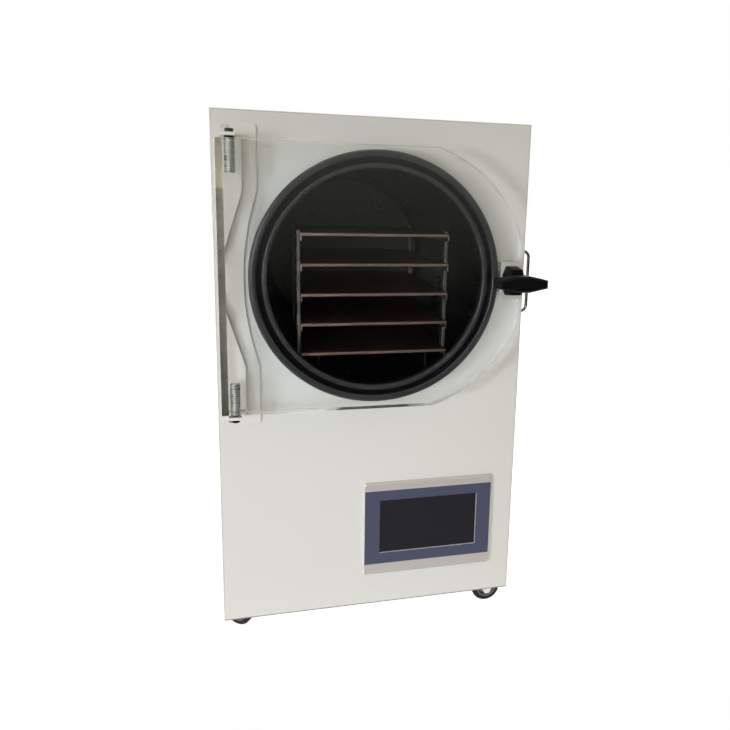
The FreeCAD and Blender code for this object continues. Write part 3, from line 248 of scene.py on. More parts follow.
def turned(work, outline, place, steps):
    """Turn a closed outline of (radius, distance) about an axis; place carries Z along the axis."""
    rings = []
    for i in range(steps):
        angle = 2 * math.pi * i / steps
        rings.append([work.verts.new(place @ Vector((r * math.cos(angle), r * math.sin(angle), d)))
                      for r, d in outline])
    on_axis = [r < 1e-7 for r, _ in outline]
    gaps = [j for j in range(len(outline)) if on_axis[j] and on_axis[(j + 1) % len(outline)]]
    skinned(work, rings + rings[:1], gaps)
    bmesh.ops.remove_doubles(work, verts=[v for ring in rings for v in ring], dist=1e-6)


def turned_piece(name, outline, places, steps, material, angle=35.0):
    """A piece from one outline, turned at each of its places."""
    work = bmesh.new()
    for place in places:
        turned(work, outline, place, steps)
    return new_piece(name, work, material, angle)


def eased(corners, steps=5):
    """Round the corners of a closed outline; each corner is (a, b, radius)."""
    outline = []
    count = len(corners)
    for i in range(count):
        here = Vector(corners[i][:2])
        to_last = Vector(corners[i - 1][:2]) - here
        to_next = Vector(corners[(i + 1) % count][:2]) - here
        radius = corners[i][2] if len(corners[i]) > 2 else 0.0
        if not radius:
            outline.append(tuple(here))
            continue
        half = to_last.angle(to_next) / 2
        reach = min(radius / math.tan(half), 0.49 * to_last.length, 0.49 * to_next.length)
        start = here + to_last.normalized() * reach
        end = here + to_next.normalized() * reach
        middle = here + (to_last.normalized() + to_next.normalized()).normalized() * (
            reach / math.cos(half))
        size = (start - middle).length
        for s in range(steps + 1):
            mixed = start.lerp(end, s / steps) - middle
            outline.append(tuple(middle + mixed.normalized() * size))
    return outline


SCREW_RADIUS = 0.0042
SCREW_RISE = 0.0021


def screw_head():
    """A pan head, standing on its seat with the head towards local Z."""
    outline = eased([(0.0, 0.0), (SCREW_RADIUS, 0.0), (SCREW_RADIUS, SCREW_RISE * 0.45, 0.0007),
                     (SCREW_RADIUS * 0.55, SCREW_RISE, 0.0012), (0.0, SCREW_RISE)])
    return turned_piece("screw pattern", outline, [Matrix.Identity(4)], 24, zinc_plate)


def cross_recess():
    """The cross that the driver fits, a painted shadow laid a hair above the head."""
    work = bmesh.new()
    for turn in (0.0, math.pi / 2):
        bmesh.ops.create_cube(work, size=1.0, matrix=Matrix.Translation((0, 0, SCREW_RISE - 0.00005))
                              @ Matrix.Rotation(turn, 4, "Z")
                              @ Matrix.Diagonal((SCREW_RADIUS * 1.1, SCREW_RADIUS * 0.22, 0.0003, 1.0)))
    return new_piece("recess pattern", work, recess_painted_shadow)


zinc_plate = finish("zinc plate", (0.62, 0.63, 0.64), 0.33, metallic=1.0, shade=0.10, fine=1500.0)
recess_painted_shadow = finish("recess shadow", (0.02, 0.02, 0.02), 0.8)


def fastener_tree():
    """Geometry nodes: a fastener on every point, turned at random about its own axis."""
    tree = bpy.data.node_groups.new("fasteners on points", "GeometryNodeTree")
    for label, kind in (("Geometry", "Geometry"), ("Fastener", "Object"), ("Facing", "Vector"),
                        ("Seed", "Int"), ("Finish", "Material")):
        tree.interface.new_socket(label, in_out="INPUT", socket_type="NodeSocket" + kind)
    tree.interface.new_socket("Geometry", in_out="OUTPUT", socket_type="NodeSocketGeometry")
    given = tree.nodes.new("NodeGroupInput").outputs
    info = node_in(tree, "GeometryNodeObjectInfo", Object=given["Fastener"])
    turn = node_in(tree, "FunctionNodeRandomValue", Max=1.0, Seed=given["Seed"])
    spin = math_of(tree, "MULTIPLY", turn.outputs["Value"], 2 * math.pi)
    about = node_in(tree, "ShaderNodeCombineXYZ", Z=spin)
    laid = node_in(tree, "FunctionNodeRotateEuler", rotation_type="EULER", space="LOCAL",
                   Rotation=given["Facing"], Rotate_By=about.outputs[0])
    placed = node_in(tree, "GeometryNodeInstanceOnPoints", Points=given["Geometry"],
                     Instance=info.outputs["Geometry"], Rotation=laid.outputs[0])
    real = node_in(tree, "GeometryNodeRealizeInstances", placed.outputs[0])
    coat = node_in(tree, "GeometryNodeSetMaterial", Geometry=real.outputs[0], Material=given["Finish"])
    node_in(tree, "NodeGroupOutput", Geometry=coat.outputs[0])
    return tree


fasteners_on_points = fastener_tree()


def grown(name, base, tree, values):
    """Run a geometry node tree on a base mesh and keep the result as a plain mesh object."""
    carrier = linked(name + " carrier", base)
    modifier = carrier.modifiers.new("grow", "NODES")
    modifier.node_group = tree
    for item in tree.interface.items_tree:
        if item.item_type == "SOCKET" and item.in_out == "INPUT" and item.name in values:
            modifier[item.identifier] = values[item.name]
    evaluated = carrier.evaluated_get(bpy.context.evaluated_depsgraph_get())
    mesh = bpy.data.meshes.new_from_object(evaluated)
    bpy.data.objects.remove(carrier)
    return linked(name, mesh)


def points_mesh(points):
    """A mesh of loose points."""
    mesh = bpy.data.meshes.new("points")
    mesh.from_pydata([tuple(p) for p in points], [], [])
    return mesh


def screw_row(name, points, facing, seed):
    """Screws on a list of points, all facing one way, with their recesses."""
    for kind, pattern, coat in (("heads", screw_head(), zinc_plate),
                                ("recesses", cross_recess(), recess_painted_shadow)):
        piece = grown(name + "_" + kind, points_mesh(points), fasteners_on_points, {
            "Fastener": pattern, "Facing": facing, "Seed": seed, "Finish": coat})
        shaded(piece.data)
        bpy.data.objects.remove(pattern)
        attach(piece, "cabinet")


def spaced(start, end, count):
    """Evenly spaced points from one point to another."""
    return [Vector(start).lerp(Vector(end), i / (count - 1)) for i in range(count)]


EDGE_INSET = 0.009           # from the rear sheet's edges to its screws
LOW_ROW_RISE = 0.006         # how much further in the lowest screws sit
FIRST_ALONG = 0.10           # from the side rows to the first screw of the level rows
rear_low, rear_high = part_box("rear_panel")
rear_y = rear_high.y
left_x, right_x = rear_low.x + EDGE_INSET, rear_high.x - EDGE_INSET
low_z, high_z = rear_low.z + EDGE_INSET + LOW_ROW_RISE, rear_high.z - EDGE_INSET
rear_points = []
for x in (left_x, right_x):
    rear_points += spaced((x, rear_y, low_z), (x, rear_y, high_z), 6)
for z in (high_z, low_z):
    rear_points += spaced((left_x + FIRST_ALONG, rear_y, z), (right_x - FIRST_ALONG, rear_y, z), 3)
screw_row("rear_panel_screws", rear_points, (-math.pi / 2, 0.0, 0.0), 3)

# ---------------------------------------------------------------- chamber gasket
# One moulded rubber ring pushed over the chamber's edge: a rounded outer bead that the door
# presses on, a groove, and an inner lip that covers the edge.


def laid_along(place):
    """A matrix at a place, with local Z to the rear, along +Y."""
    return Matrix.Translation(place) @ Matrix.Rotation(-math.pi / 2, 4, "X")


gasket_low, gasket_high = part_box("chamber_gasket")
chamber_x = (gasket_low.x + gasket_high.x) / 2
chamber_z = (gasket_low.z + gasket_high.z) / 2
gasket_radius = (gasket_high.x - gasket_low.x) / 2
gasket_depth = gasket_high.y - gasket_low.y
BEAD = 0.0108
GROOVE = 0.0070
GROOVE_DEPTH = 0.0060
GROOVE_SHADE_IN, GROOVE_SHADE_OUT = 0.0012, 0.0008   # how far the painted shade reaches past the groove's sides
GROOVE_SHADE_TOP = 0.0006          # and how far below the lip it starts
MOUTH_RADIUS = 0.1500
RIM_SEAT = 0.0100            # from the lip's face to the chamber's edge
RIM_RADIUS = 0.1625

gasket_rubber = finish("gasket rubber", (0.024, 0.024, 0.025), 0.36, shade=0.35, spread=0.20, fine=420.0,
                       broad=22.0, depth=0.00003, dust=0.03, Specular_IOR_Level=0.5)
bead_in = gasket_radius - BEAD
lip_out = bead_in - GROOVE
gasket_outline = eased([
    (MOUTH_RADIUS, 0.0, 0.0022), (lip_out, 0.0, 0.0018), (lip_out, GROOVE_DEPTH, 0.0010),
    (bead_in, GROOVE_DEPTH, 0.0010), (bead_in, 0.0, 0.0034), (gasket_radius, 0.0, 0.0046),
    (gasket_radius, gasket_depth, 0.0008), (RIM_RADIUS, gasket_depth), (RIM_RADIUS, RIM_SEAT),
    (MOUTH_RADIUS, RIM_SEAT, 0.0015)])
gasket = turned_piece("gasket_ring", gasket_outline, [laid_along((chamber_x, gasket_low.y, chamber_z))], 192,
                      gasket_rubber, 50.0)
# The groove's walls and floor are coloured near black: painted shade for the hollow, which the lamps still
# reach.
groove_painted_shade = finish("groove painted shade", (0.0025, 0.0025, 0.003), 0.30, shade=0.2, fine=300.0, depth=0.00003,
                        Specular_IOR_Level=0.12)
gasket.data.materials.append(groove_painted_shade)
for face in gasket.data.polygons:
    reach = math.hypot(face.center.x - chamber_x, face.center.z - chamber_z)
    face.material_index = int(lip_out - GROOVE_SHADE_IN < reach < bead_in + GROOVE_SHADE_OUT
                              and face.center.y > gasket_low.y + GROOVE_SHADE_TOP)
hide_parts("chamber_gasket")
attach(gasket, "cabinet")

# ---------------------------------------------------------------- vacuum chamber
# A rolled and welded stainless vessel with a thick end plate, bored for the vacuum port and the
# drain.  Its inside is satin steel coloured near black, as painted shade; foam and flattened copper runs lie
# round it.

shell_low, shell_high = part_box("chamber_shell")
port_low, port_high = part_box("vacuum_port")
shell_radius = (shell_high.x - shell_low.x) / 2
SHELL_WALL = 0.0025
END_PLATE = 0.0060
END_FILLET = 0.012           # where the wall turns into the end plate
PLATE_MIDDLE = 0.02          # inside this radius the plate's outline runs straight to the axis
inner_radius = shell_radius - SHELL_WALL
end_y = port_low.y                        # inner face of the end plate
straight = end_y - shell_low.y
# Stainless coloured near black: painted shade for the dim chamber; the drain stub, port screen and runners
# share it.
steel_with_painted_shade = finish("satin steel with painted shade", (0.062, 0.062, 0.057), 0.30, metallic=1.0, shade=0.25, spread=0.14,
                     fine=380.0, broad=9.0, stretch=(1.0, 0.06, 1.0), depth=0.00002)
shell_outline = [(inner_radius, 0.0)] + [(inner_radius, straight * (i + 1) / 12) for i in range(11)]
shell_outline += eased([(inner_radius, straight - 0.03), (inner_radius, straight, END_FILLET),
                        (PLATE_MIDDLE, straight)], 6)
shell_outline += [(0.0, straight), (0.0, straight + END_PLATE)]
shell_outline += eased([(PLATE_MIDDLE, straight + END_PLATE), (shell_radius, straight + END_PLATE, 0.003),
                        (shell_radius, straight - 0.004)], 3)[1:]
shell_outline += [(shell_radius, 0.0)]
shell = turned_piece("chamber_vessel", shell_outline, [laid_along((chamber_x, shell_low.y, chamber_z))], 160,
                     steel_with_painted_shade, 40.0)


def baked(piece):
    """Make what a piece's modifiers give its plain mesh."""
    bpy.context.view_layer.update()
    mesh = bpy.data.meshes.new_from_object(piece.evaluated_get(bpy.context.evaluated_depsgraph_get()))
    piece.modifiers.clear()
    piece.data = mesh


def tube(inside, outside, length):
    """The outline of a straight tube, or of a pin where the inside is nothing."""
    return [(inside, 0.0), (outside, 0.0), (outside, length), (inside, length)]


def bored(piece, name, radius, start, end):
    """Cut a round hole from one point to another through a piece."""
    along = end - start
    place = Matrix.Translation(start) @ along.to_track_quat("Z", "Y").to_matrix().to_4x4()
    cutter = turned_piece(name, tube(0.0, radius, along.length), [place], 48, steel_with_painted_shade)
    modifier = piece.modifiers.new("bore", "BOOLEAN")
    modifier.operation = "DIFFERENCE"
    modifier.solver = "EXACT"
    modifier.object = cutter
    baked(piece)
    bpy.data.objects.remove(cutter)


port_x = (port_low.x + port_high.x) / 2
port_z = (port_low.z + port_high.z) / 2
PORT_OUTSIDE = 0.0140
DRAIN_BORE = 0.0060
DRAIN_OUTSIDE = 0.0080
DRAIN_RISE = 0.013           # the drain's axis over the foot of its valve
drain_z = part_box("drain_valve")[0].z + DRAIN_RISE
BORE_BEFORE, BORE_BEYOND = 0.01, 0.03    # how far the cuts reach on each side of the inner face
for name, radius, z in (("port hole", PORT_OUTSIDE, port_z), ("drain hole", DRAIN_BORE, drain_z)):
    bored(shell, name, radius, Vector((port_x, end_y - BORE_BEFORE, z)),
          Vector((port_x, end_y + BORE_BEYOND, z)))
stub_length = shell_high.y - end_y - END_PLATE
drain_stub = turned_piece("drain_stub", tube(DRAIN_BORE, DRAIN_OUTSIDE, stub_length),
                          [laid_along((port_x, end_y + END_PLATE, drain_z))], 48, steel_with_painted_shade)
for piece in (shell, drain_stub):
    shaded(piece.data, 40.0)
    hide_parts("chamber_shell")
    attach(piece, "cabinet")

SCREEN_RADIUS = 0.024        # a round plate on three legs, which keeps crumbs out of the port
SCREEN_THICK = 0.0016
SCREEN_OFF = 0.0080
LEG_CIRCLE = 0.019
LEG_RADIUS = 0.0022
LEG_LENGTH = SCREEN_OFF - SCREEN_THICK
FIRST_LEG = 0.4              # the angle of the first leg, in radians
work = bmesh.new()
turned(work, eased([(0.0, 0.0), (SCREEN_RADIUS, 0.0, 0.0008), (SCREEN_RADIUS, SCREEN_THICK, 0.0004),
                    (0.0, SCREEN_THICK)]),
       laid_along((port_x, end_y - SCREEN_OFF, port_z)), 48)
for turn in range(3):
    angle = 2 * math.pi * turn / 3 + FIRST_LEG
    foot = Vector((port_x + LEG_CIRCLE * math.cos(angle), end_y - LEG_LENGTH,
                   port_z + LEG_CIRCLE * math.sin(angle)))
    turned(work, tube(0.0, LEG_RADIUS, LEG_LENGTH), laid_along(foot), 16)
port_screen = new_piece("port_screen", work, steel_with_painted_shade)
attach(port_screen, "cabinet")

jacket_foam = finish("jacket foam", (0.055, 0.055, 0.060), 0.85, shade=0.5, fine=260.0, broad=30.0,
                     depth=0.0004)
dress("chamber_insulation", jacket_foam)
coil_copper = finish("drawn copper", (0.60, 0.30, 0.17), 0.28, metallic=1.0, shade=0.25, spread=0.15,
                     fine=300.0, depth=0.00002)
dress("evaporator_coil", coil_copper)

satin_steel = finish("satin stainless", (0.58, 0.575, 0.56), 0.26, metallic=1.0, shade=0.12, spread=0.10,
                     fine=700.0, broad=16.0, stretch=(0.04, 1.0, 1.0), depth=0.000008)


def flat_kept(piece):
    """Weigh a piece's normals by area, so that wide flat faces stay flat beside their eased edges."""
    modifier = piece.modifiers.new("flats", "WEIGHTED_NORMAL")
    modifier.mode = "FACE_AREA"
    modifier.keep_sharp = True
    baked(piece)


def eased_copy(name, node, material, width, segments=2, break_angle=32.0, smooth_angle=38.0):
    """Stand a copy in for a CAD node: doubles merged, flat faces joined, real edges slightly rounded."""
    work = bmesh.new()
    work.from_mesh(nodes[node].data)
    bmesh.ops.remove_doubles(work, verts=work.verts, dist=2e-6)
    bmesh.ops.dissolve_limit(work, angle_limit=math.radians(1.0), verts=work.verts, edges=work.edges,
                             delimit={"NORMAL"})
    if width:
        sharp = [e for e in work.edges if len(e.link_faces) == 2
                 and e.calc_face_angle(0.0) > math.radians(break_angle)]
        bmesh.ops.bevel(work, geom=sharp, offset=width, segments=segments, profile=0.6, affect="EDGES",
                        clamp_overlap=True)
    piece = mesh_piece(name, work, material, smooth_angle)
    if width:
        flat_kept(piece)
    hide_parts(node)
    return piece


def eased_copies(*rows):
    """Eased copies of CAD nodes, each with its finish, body, slot (not used) and width of rounding."""
    for name, node, material, body, slot, width, *more in rows:
        piece = eased_copy(name, node, material, width, *more)
        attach(piece, body)


eased_copies(("vacuum_tube", "vacuum_port", satin_steel, "cabinet", "stainless", 0.0004))

# ---------------------------------------------------------------- rack and shelves
# Five folded plates riveted between flat uprights, with a red heating mat glued under each.
# The rack stands on two runners on the chamber's floor.

shelf_metal = finish("warm brushed shelf", (0.42, 0.275, 0.24), 0.36, metallic=1.0, shade=0.16, spread=0.12,
                     broad=18.0, stretch=(0.03, 1.0, 1.0), depth=0.00001, dust=0.08)
# Steel of the uprights coloured dark: painted shade for the dim chamber.
rack_steel_painted_shade = finish("rack steel, painted shade", (0.19, 0.182, 0.172), 0.42, metallic=1.0, shade=0.15, spread=0.10,
                    stretch=(1.0, 1.0, 0.05), depth=0.00001)
# Painted shade: the shelves' upward faces take a darker copy of their metal, as they lie dim inside the
# chamber.
shelf_top_painted_shade = finish("shelf top painted shade", (0.17, 0.095, 0.082), 0.42, metallic=1.0, shade=0.16, spread=0.12,
                   broad=18.0, stretch=(0.03, 1.0, 1.0), depth=0.00001, dust=0.05)
heater_mat = finish("heater mat", (0.085, 0.014, 0.007), 0.60, shade=0.15, fine=1400.0, depth=0.00005)
SHELVES = range(1, 6)
for number in SHELVES:
    shelf = eased_copy("shelf_%d" % number, "shelf_plate_%d" % number, shelf_metal, 0.0004)
    shelf.data.materials.append(shelf_top_painted_shade)
    for face in shelf.data.polygons:
        # faces that look up take the painted shade
        face.material_index = int(face.normal.z > 0.7)
    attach(shelf, "cabinet")
eased_copies(("rack_uprights", "rack_posts", rack_steel_painted_shade, "cabinet", "stainless", 0.0006),
             ("rack_runners", "rack_rails", steel_with_painted_shade, "cabinet", "stainless", 0.0006))
dress("shelf_heaters", heater_mat)

RIVET_RADIUS = 0.0028
RIVET_RISE = 0.0012
RIVET_DROP = 0.006           # from a shelf's top to its rivets
POST_WIDTH = 0.015
post_low, post_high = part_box("rack_posts")


def rivet_head():
    """A low domed rivet, standing on its seat with the dome towards local Z."""
    outline = eased([(0.0, 0.0), (RIVET_RADIUS, 0.0), (RIVET_RADIUS * 0.8, RIVET_RISE, 0.0012),
                     (0.0, RIVET_RISE)])
    return turned_piece("rivet pattern", outline, [Matrix.Identity(4)], 16, rack_steel_painted_shade)


post_middles = [post_low.y + POST_WIDTH / 2, post_high.y - POST_WIDTH / 2]
for side, x, turn in (("left", post_low.x, -math.pi / 2), ("right", post_high.x, math.pi / 2)):
    places = [Vector((x, y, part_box("shelf_plate_%d" % number)[1].z - RIVET_DROP))
              for number in SHELVES for y in post_middles]
    pattern = rivet_head()
    rivets = grown("rack_rivets_" + side, points_mesh(places), fasteners_on_points, {
        "Fastener": pattern, "Facing": (0.0, turn, 0.0), "Seed": 5, "Finish": rack_steel_painted_shade})
    shaded(rivets.data)
    bpy.data.objects.remove(pattern)
    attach(rivets, "cabinet")

# ---------------------------------------------------------------- hinge bracket
# A painted plate with two raised risers whose ears reach over and under the door; bolts in the
# ears are its pivots.  Two button screws hold the plate to the panel.

bracket_paint = finish("bracket paint", (0.775, 0.760, 0.715), 0.32, shade=0.03, spread=0.05, fine=650.0,
                       broad=9.0, depth=0.00002, Specular_IOR_Level=0.45)
bright_steel = finish("bright steel", (0.70, 0.69, 0.67), 0.13, metallic=1.0, shade=0.10, spread=0.06,
                      fine=1200.0, depth=0.000004)
dark_steel = finish("dark steel", (0.085, 0.085, 0.088), 0.24, metallic=1.0, shade=0.2, spread=0.10,
                    depth=0.00001)
eased_copies(("hinge_plate", "hinge_bracket", bracket_paint, "cabinet", "painted_bracket", 0.0007, 3),
             ("pivot_pins", "pivot_bolts", dark_steel, "cabinet", "polished_steel", 0.0007, 3))

BUTTON_RADIUS = 0.0053
BUTTON_CROWN = 0.0038
BUTTON_RISE = 0.0030
KEY_RADIUS = 0.0023          # the hexagon that a key fits
KEY_FLOOR = 0.0012
KEY_WALL = 0.0002
KEY_HIDDEN = 0.0033          # the hexagon's outside, which stays within the head
facing_front = Matrix.Rotation(math.pi / 2, 4, "X")  # turns local Z to the front, -Y
screw_low, screw_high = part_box("hinge_screws")
button_x = (screw_low.x + screw_high.x) / 2
button_reach = (screw_high.x - screw_low.x) / 2
work = bmesh.new()
for z in (screw_low.z + button_reach, screw_high.z - button_reach):
    seat = Matrix.Translation((button_x, screw_high.y, z)) @ facing_front
    turned(work, eased([(KEY_RADIUS + KEY_WALL, 0.0), (BUTTON_RADIUS, 0.0), (BUTTON_RADIUS, 0.0012, 0.0005),
                        (BUTTON_CROWN, BUTTON_RISE, 0.0014), (KEY_RADIUS + KEY_WALL, BUTTON_RISE, 0.0002)]),
           seat, 48)
    turned(work, [(0.0, 0.0004), (KEY_HIDDEN, 0.0004), (KEY_HIDDEN, BUTTON_RISE - 0.0001),
                  (KEY_RADIUS, BUTTON_RISE - 0.0001), (KEY_RADIUS, KEY_FLOOR), (0.0, KEY_FLOOR)], seat, 6)
buttons = new_piece("bracket_screws", work, zinc_plate, 40.0)
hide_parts("hinge_screws")
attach(buttons, "cabinet")

WASHER_RADIUS = 0.0064
WASHER_BORE = 0.0041
WASHER_THICK = 0.0015        # there are two at each end of the door
washer_low, washer_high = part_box("pivot_washers")
washer_x = (washer_low.x + washer_high.x) / 2
washer_y = (washer_low.y + washer_high.y) / 2
washer_outline = eased([(WASHER_BORE, 0.0, 0.0002), (WASHER_RADIUS, 0.0, 0.0006),
                        (WASHER_RADIUS, WASHER_THICK, 0.0006), (WASHER_BORE, WASHER_THICK, 0.0002)], 4)
washer_places = [Matrix.Translation((washer_x, washer_y, z + i * WASHER_THICK))
                 for z in (washer_low.z, washer_high.z - 2 * WASHER_THICK) for i in range(2)]
washers = turned_piece("thrust_washers", washer_outline, washer_places, 48, dark_steel, 50.0)
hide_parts("pivot_washers")
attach(washers, "cabinet")

# ---------------------------------------------------------------- door
# A slab of cast acrylic, rounded and polished at the latch and sawn straight at the hinge, with
# a ribbed stainless sleeve set into each end of the hinge side.


def ramp(tree, factor, *stops):
    """The colour that a ramp gives for a factor; each stop is (place, colour), in order."""
    made = node_in(tree, "ShaderNodeValToRGB", factor)
    elements = made.color_ramp.elements
    while len(elements) < len(stops):
        elements.new(0.5)
    for element, (place, colour) in zip(elements, stops):
        element.position = place
        element.color = (*colour, 1.0)
    return made.outputs["Color"]


ACRYLIC_IOR = 1.49
EDGE_SHADOW = (0.22, 0.22, 0.21)         # what passes through an edge, for the shadow
FACE_SHADOW = (0.96, 0.965, 0.955)       # what passes through a face


def acrylic_finish():
    """Clear acrylic whose shadow is faint under its faces and dark under its edges."""
    material, tree, shader = new_material("clear acrylic")
    shader.inputs["Transmission Weight"].default_value = 1.0
    shader.inputs["IOR"].default_value = ACRYLIC_IOR
    grain = node_in(tree, "ShaderNodeGroup", node_tree=surface_grain, Color=(0.975, 0.985, 0.975, 1.0),
                    Shade=0.012, Roughness=0.012, Spread=0.012, Fine=260.0, Broad=7.0).outputs
    tree.links.new(grain["Color"], shader.inputs["Base Color"])
    tree.links.new(grain["Roughness"], shader.inputs["Roughness"])
    facing = tree.nodes.new("ShaderNodeTexCoord").outputs["Normal"]
    flat = math_of(tree, "ABSOLUTE", node_in(tree, "ShaderNodeSeparateXYZ", facing).outputs["Y"])
    passed = ramp(tree, flat, (0.3, EDGE_SHADOW), (0.8, FACE_SHADOW))
    clear = node_in(tree, "ShaderNodeBsdfTransparent", Color=passed)
    shadow_ray = tree.nodes.new("ShaderNodeLightPath").outputs["Is Shadow Ray"]
    mixed = node_in(tree, "ShaderNodeMixShader", shadow_ray, shader.outputs[0], clear.outputs[0])
    tree.links.new(mixed.outputs[0], tree.nodes["Material Output"].inputs["Surface"])
    return material


clear_acrylic = acrylic_finish()
door_low, door_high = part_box("door_panel")
sleeve_low, sleeve_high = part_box("hinge_sleeves")
pin_x = (sleeve_low.x + sleeve_high.x) / 2
pin_y = (sleeve_low.y + sleeve_high.y) / 2
stud_low, stud_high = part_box("clamp_stud")
ARC_RADIUS = 0.1870
ARC_SHIFT = 0.0235           # arc centre from the chamber's axis towards the latch
HINGE_CHAMFER = 0.0080
EDGE_ROUND = 0.0008
SLEEVE_BORE = 0.0065
SLEEVE_LENGTH = 0.0420
STUD_HOLE = 0.0070
ARC_STEPS = 48


def door_outline(left):
    """The slab's outline from the front: straight at the hinge, arcs and a short flat at the latch."""
    centre = chamber_x + ARC_SHIFT
    half = (door_high.z - door_low.z) / 2
    start = math.asin(half / ARC_RADIUS)
    end = math.acos((door_high.x - centre) / ARC_RADIUS)
    arc = [(centre + ARC_RADIUS * math.cos(a), ARC_RADIUS * math.sin(a))
           for a in (start + (end - start) * i / ARC_STEPS for i in range(ARC_STEPS + 1))]
    outline = [(left, -half)] + [(x, -z) for x, z in arc] + arc[::-1] + [(left, half)]
    return [(x, chamber_z + z) for x, z in outline]


work = bmesh.new()
rings = []
for y, left in ((door_low.y, door_low.x), (door_high.y - HINGE_CHAMFER, door_low.x),
                (door_high.y, door_low.x + HINGE_CHAMFER)):
    rings.append([work.verts.new((x, y, z)) for x, z in door_outline(left)])
skinned(work, rings)
work.faces.new(rings[0][::-1])
work.faces.new(rings[-1])
bmesh.ops.recalc_face_normals(work, faces=work.faces)
rims = [e for e in work.edges if len(e.link_faces) == 2 and e.calc_face_angle(0.0) > math.radians(30.0)]
bmesh.ops.bevel(work, geom=rims, offset=EDGE_ROUND, segments=3, profile=0.6, affect="EDGES",
                clamp_overlap=True)
door = new_piece("acrylic_door", work, clear_acrylic, 30.0)
for end, inward in ((door_high.z, -1), (door_low.z, 1)):
    bored(door, "sleeve bore", SLEEVE_BORE, Vector((pin_x, pin_y, end - inward * 0.001)),
          Vector((pin_x, pin_y, end + inward * SLEEVE_LENGTH)))
stud_x = (stud_low.x + stud_high.x) / 2
bored(door, "stud hole", STUD_HOLE, Vector((stud_x, door_low.y - 0.001, chamber_z)),
      Vector((stud_x, door_high.y + 0.001, chamber_z)))
shaded(door.data, 32.0)
flat_kept(door)
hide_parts("door_panel")
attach(door, "door")
EDGE_PAINTED_LIGHT_TINT = (1.0, 0.985, 0.95)
EDGE_PAINTED_LIGHT_LEVELS = ((0.0, 0.42), (0.05, 0.60), (0.50, 0.85), (0.825, 1.05), (0.835, 2.0), (0.885, 2.0),
               (0.895, 1.75), (1.0, 1.9))    # (share of the door's height, painted brightness)


def painted_edge_light(tree, colour):
    """Painted light by height on the hinge edge: dull at the foot, pale beside the upper sleeve."""
    where = tree.nodes.new("ShaderNodeTexCoord").outputs["Object"]
    height = node_in(tree, "ShaderNodeSeparateXYZ", where).outputs["Z"]
    along = node_in(tree, "ShaderNodeMapRange", height, door_low.z, door_high.z).outputs[0]
    halved = [(place, tuple(level / 2 * share for share in EDGE_PAINTED_LIGHT_TINT)) for place, level in EDGE_PAINTED_LIGHT_LEVELS]
    tinted = vector_of(tree, "MULTIPLY", ramp(tree, along, *halved), colour)
    return vector_of(tree, "SCALE", tinted, Scale=2.0)


BORE_REACH = 0.0072          # faces nearer to the pivot's axis than this are the sleeve bores' walls
POLISHED_FROM = 0.02         # from the pivot's axis to the first polished edge
# The hinge edge's saw marks are real grain; its brightness by height is painted light.
sawn_edge_painted_light = finish("hinge edge with painted light", (0.66, 0.64, 0.59), 0.38, shade=0.9, spread=0.2, broad=30.0,
                   stretch=(0.05, 0.05, 1.0), depth=0.00006)
recoloured(sawn_edge_painted_light, painted_edge_light)
threaded_bore = finish("threaded bore", (0.52, 0.515, 0.49), 0.30, metallic=0.7, shade=1.1, spread=0.2,
                       fine=420.0, broad=60.0, stretch=(0.10, 0.10, 1.6), depth=0.0006)
# The latch edge is mostly pale and diffuse rather than clear: painted light for the bright band along the
# rounded edge.
polished_edge_painted_light = finish("polished edge with painted light", (0.92, 0.92, 0.88), 0.22, shade=0.10, fine=500.0, broad=14.0,
                       depth=0.00001, Transmission_Weight=0.25, IOR=ACRYLIC_IOR)
CLEAR, SAWN, THREADED, POLISHED = range(4)
door.data.materials.clear()
for coat in (clear_acrylic, sawn_edge_painted_light, threaded_bore, polished_edge_painted_light):
    door.data.materials.append(coat)
for face in door.data.polygons:
    face.material_index = CLEAR
    reach = math.hypot(face.center.x - pin_x, face.center.y - pin_y)
    if reach < BORE_REACH and abs(face.normal.z) < 0.3 and len(face.vertices) <= 6:
        face.material_index = THREADED
    elif face.normal.x < -0.3 and abs(face.normal.z) < 0.3 and face.center.x < pin_x:
        face.material_index = SAWN
    elif abs(face.normal.y) < 0.9 and face.center.x > pin_x + POLISHED_FROM:
        face.material_index = POLISHED

SLEEVE_RADIUS = 0.0064
SLEEVE_INSIDE = 0.00405
RIB_DEPTH = 0.0007
RIBS = 13
pitch = SLEEVE_LENGTH / RIBS
sleeve_outline = [(SLEEVE_INSIDE, 0.0)]
for i in range(RIBS):
    start = SLEEVE_LENGTH * i / RIBS
    sleeve_outline += [(SLEEVE_RADIUS, start + 0.15 * pitch), (SLEEVE_RADIUS, start + 0.6 * pitch)]
    sleeve_outline += [(SLEEVE_RADIUS - RIB_DEPTH, start + share * pitch) for share in (0.75, 1.0)]
sleeve_outline.append((SLEEVE_INSIDE, SLEEVE_LENGTH))
sleeve_places = [Matrix.Translation((pin_x, pin_y, end)) @ Matrix.Rotation(flip, 4, "X")
                 for end, flip in ((sleeve_high.z, math.pi), (sleeve_low.z, 0.0))]
sleeves = turned_piece("ribbed_sleeves", sleeve_outline, sleeve_places, 40, bright_steel, 30.0)
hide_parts("hinge_sleeves")
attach(sleeves, "door")

# ---------------------------------------------------------------- latch
# A folded stainless clip round the door's edge carries a moulded wing knob on a stud, which
# screws into a boss on the panel.

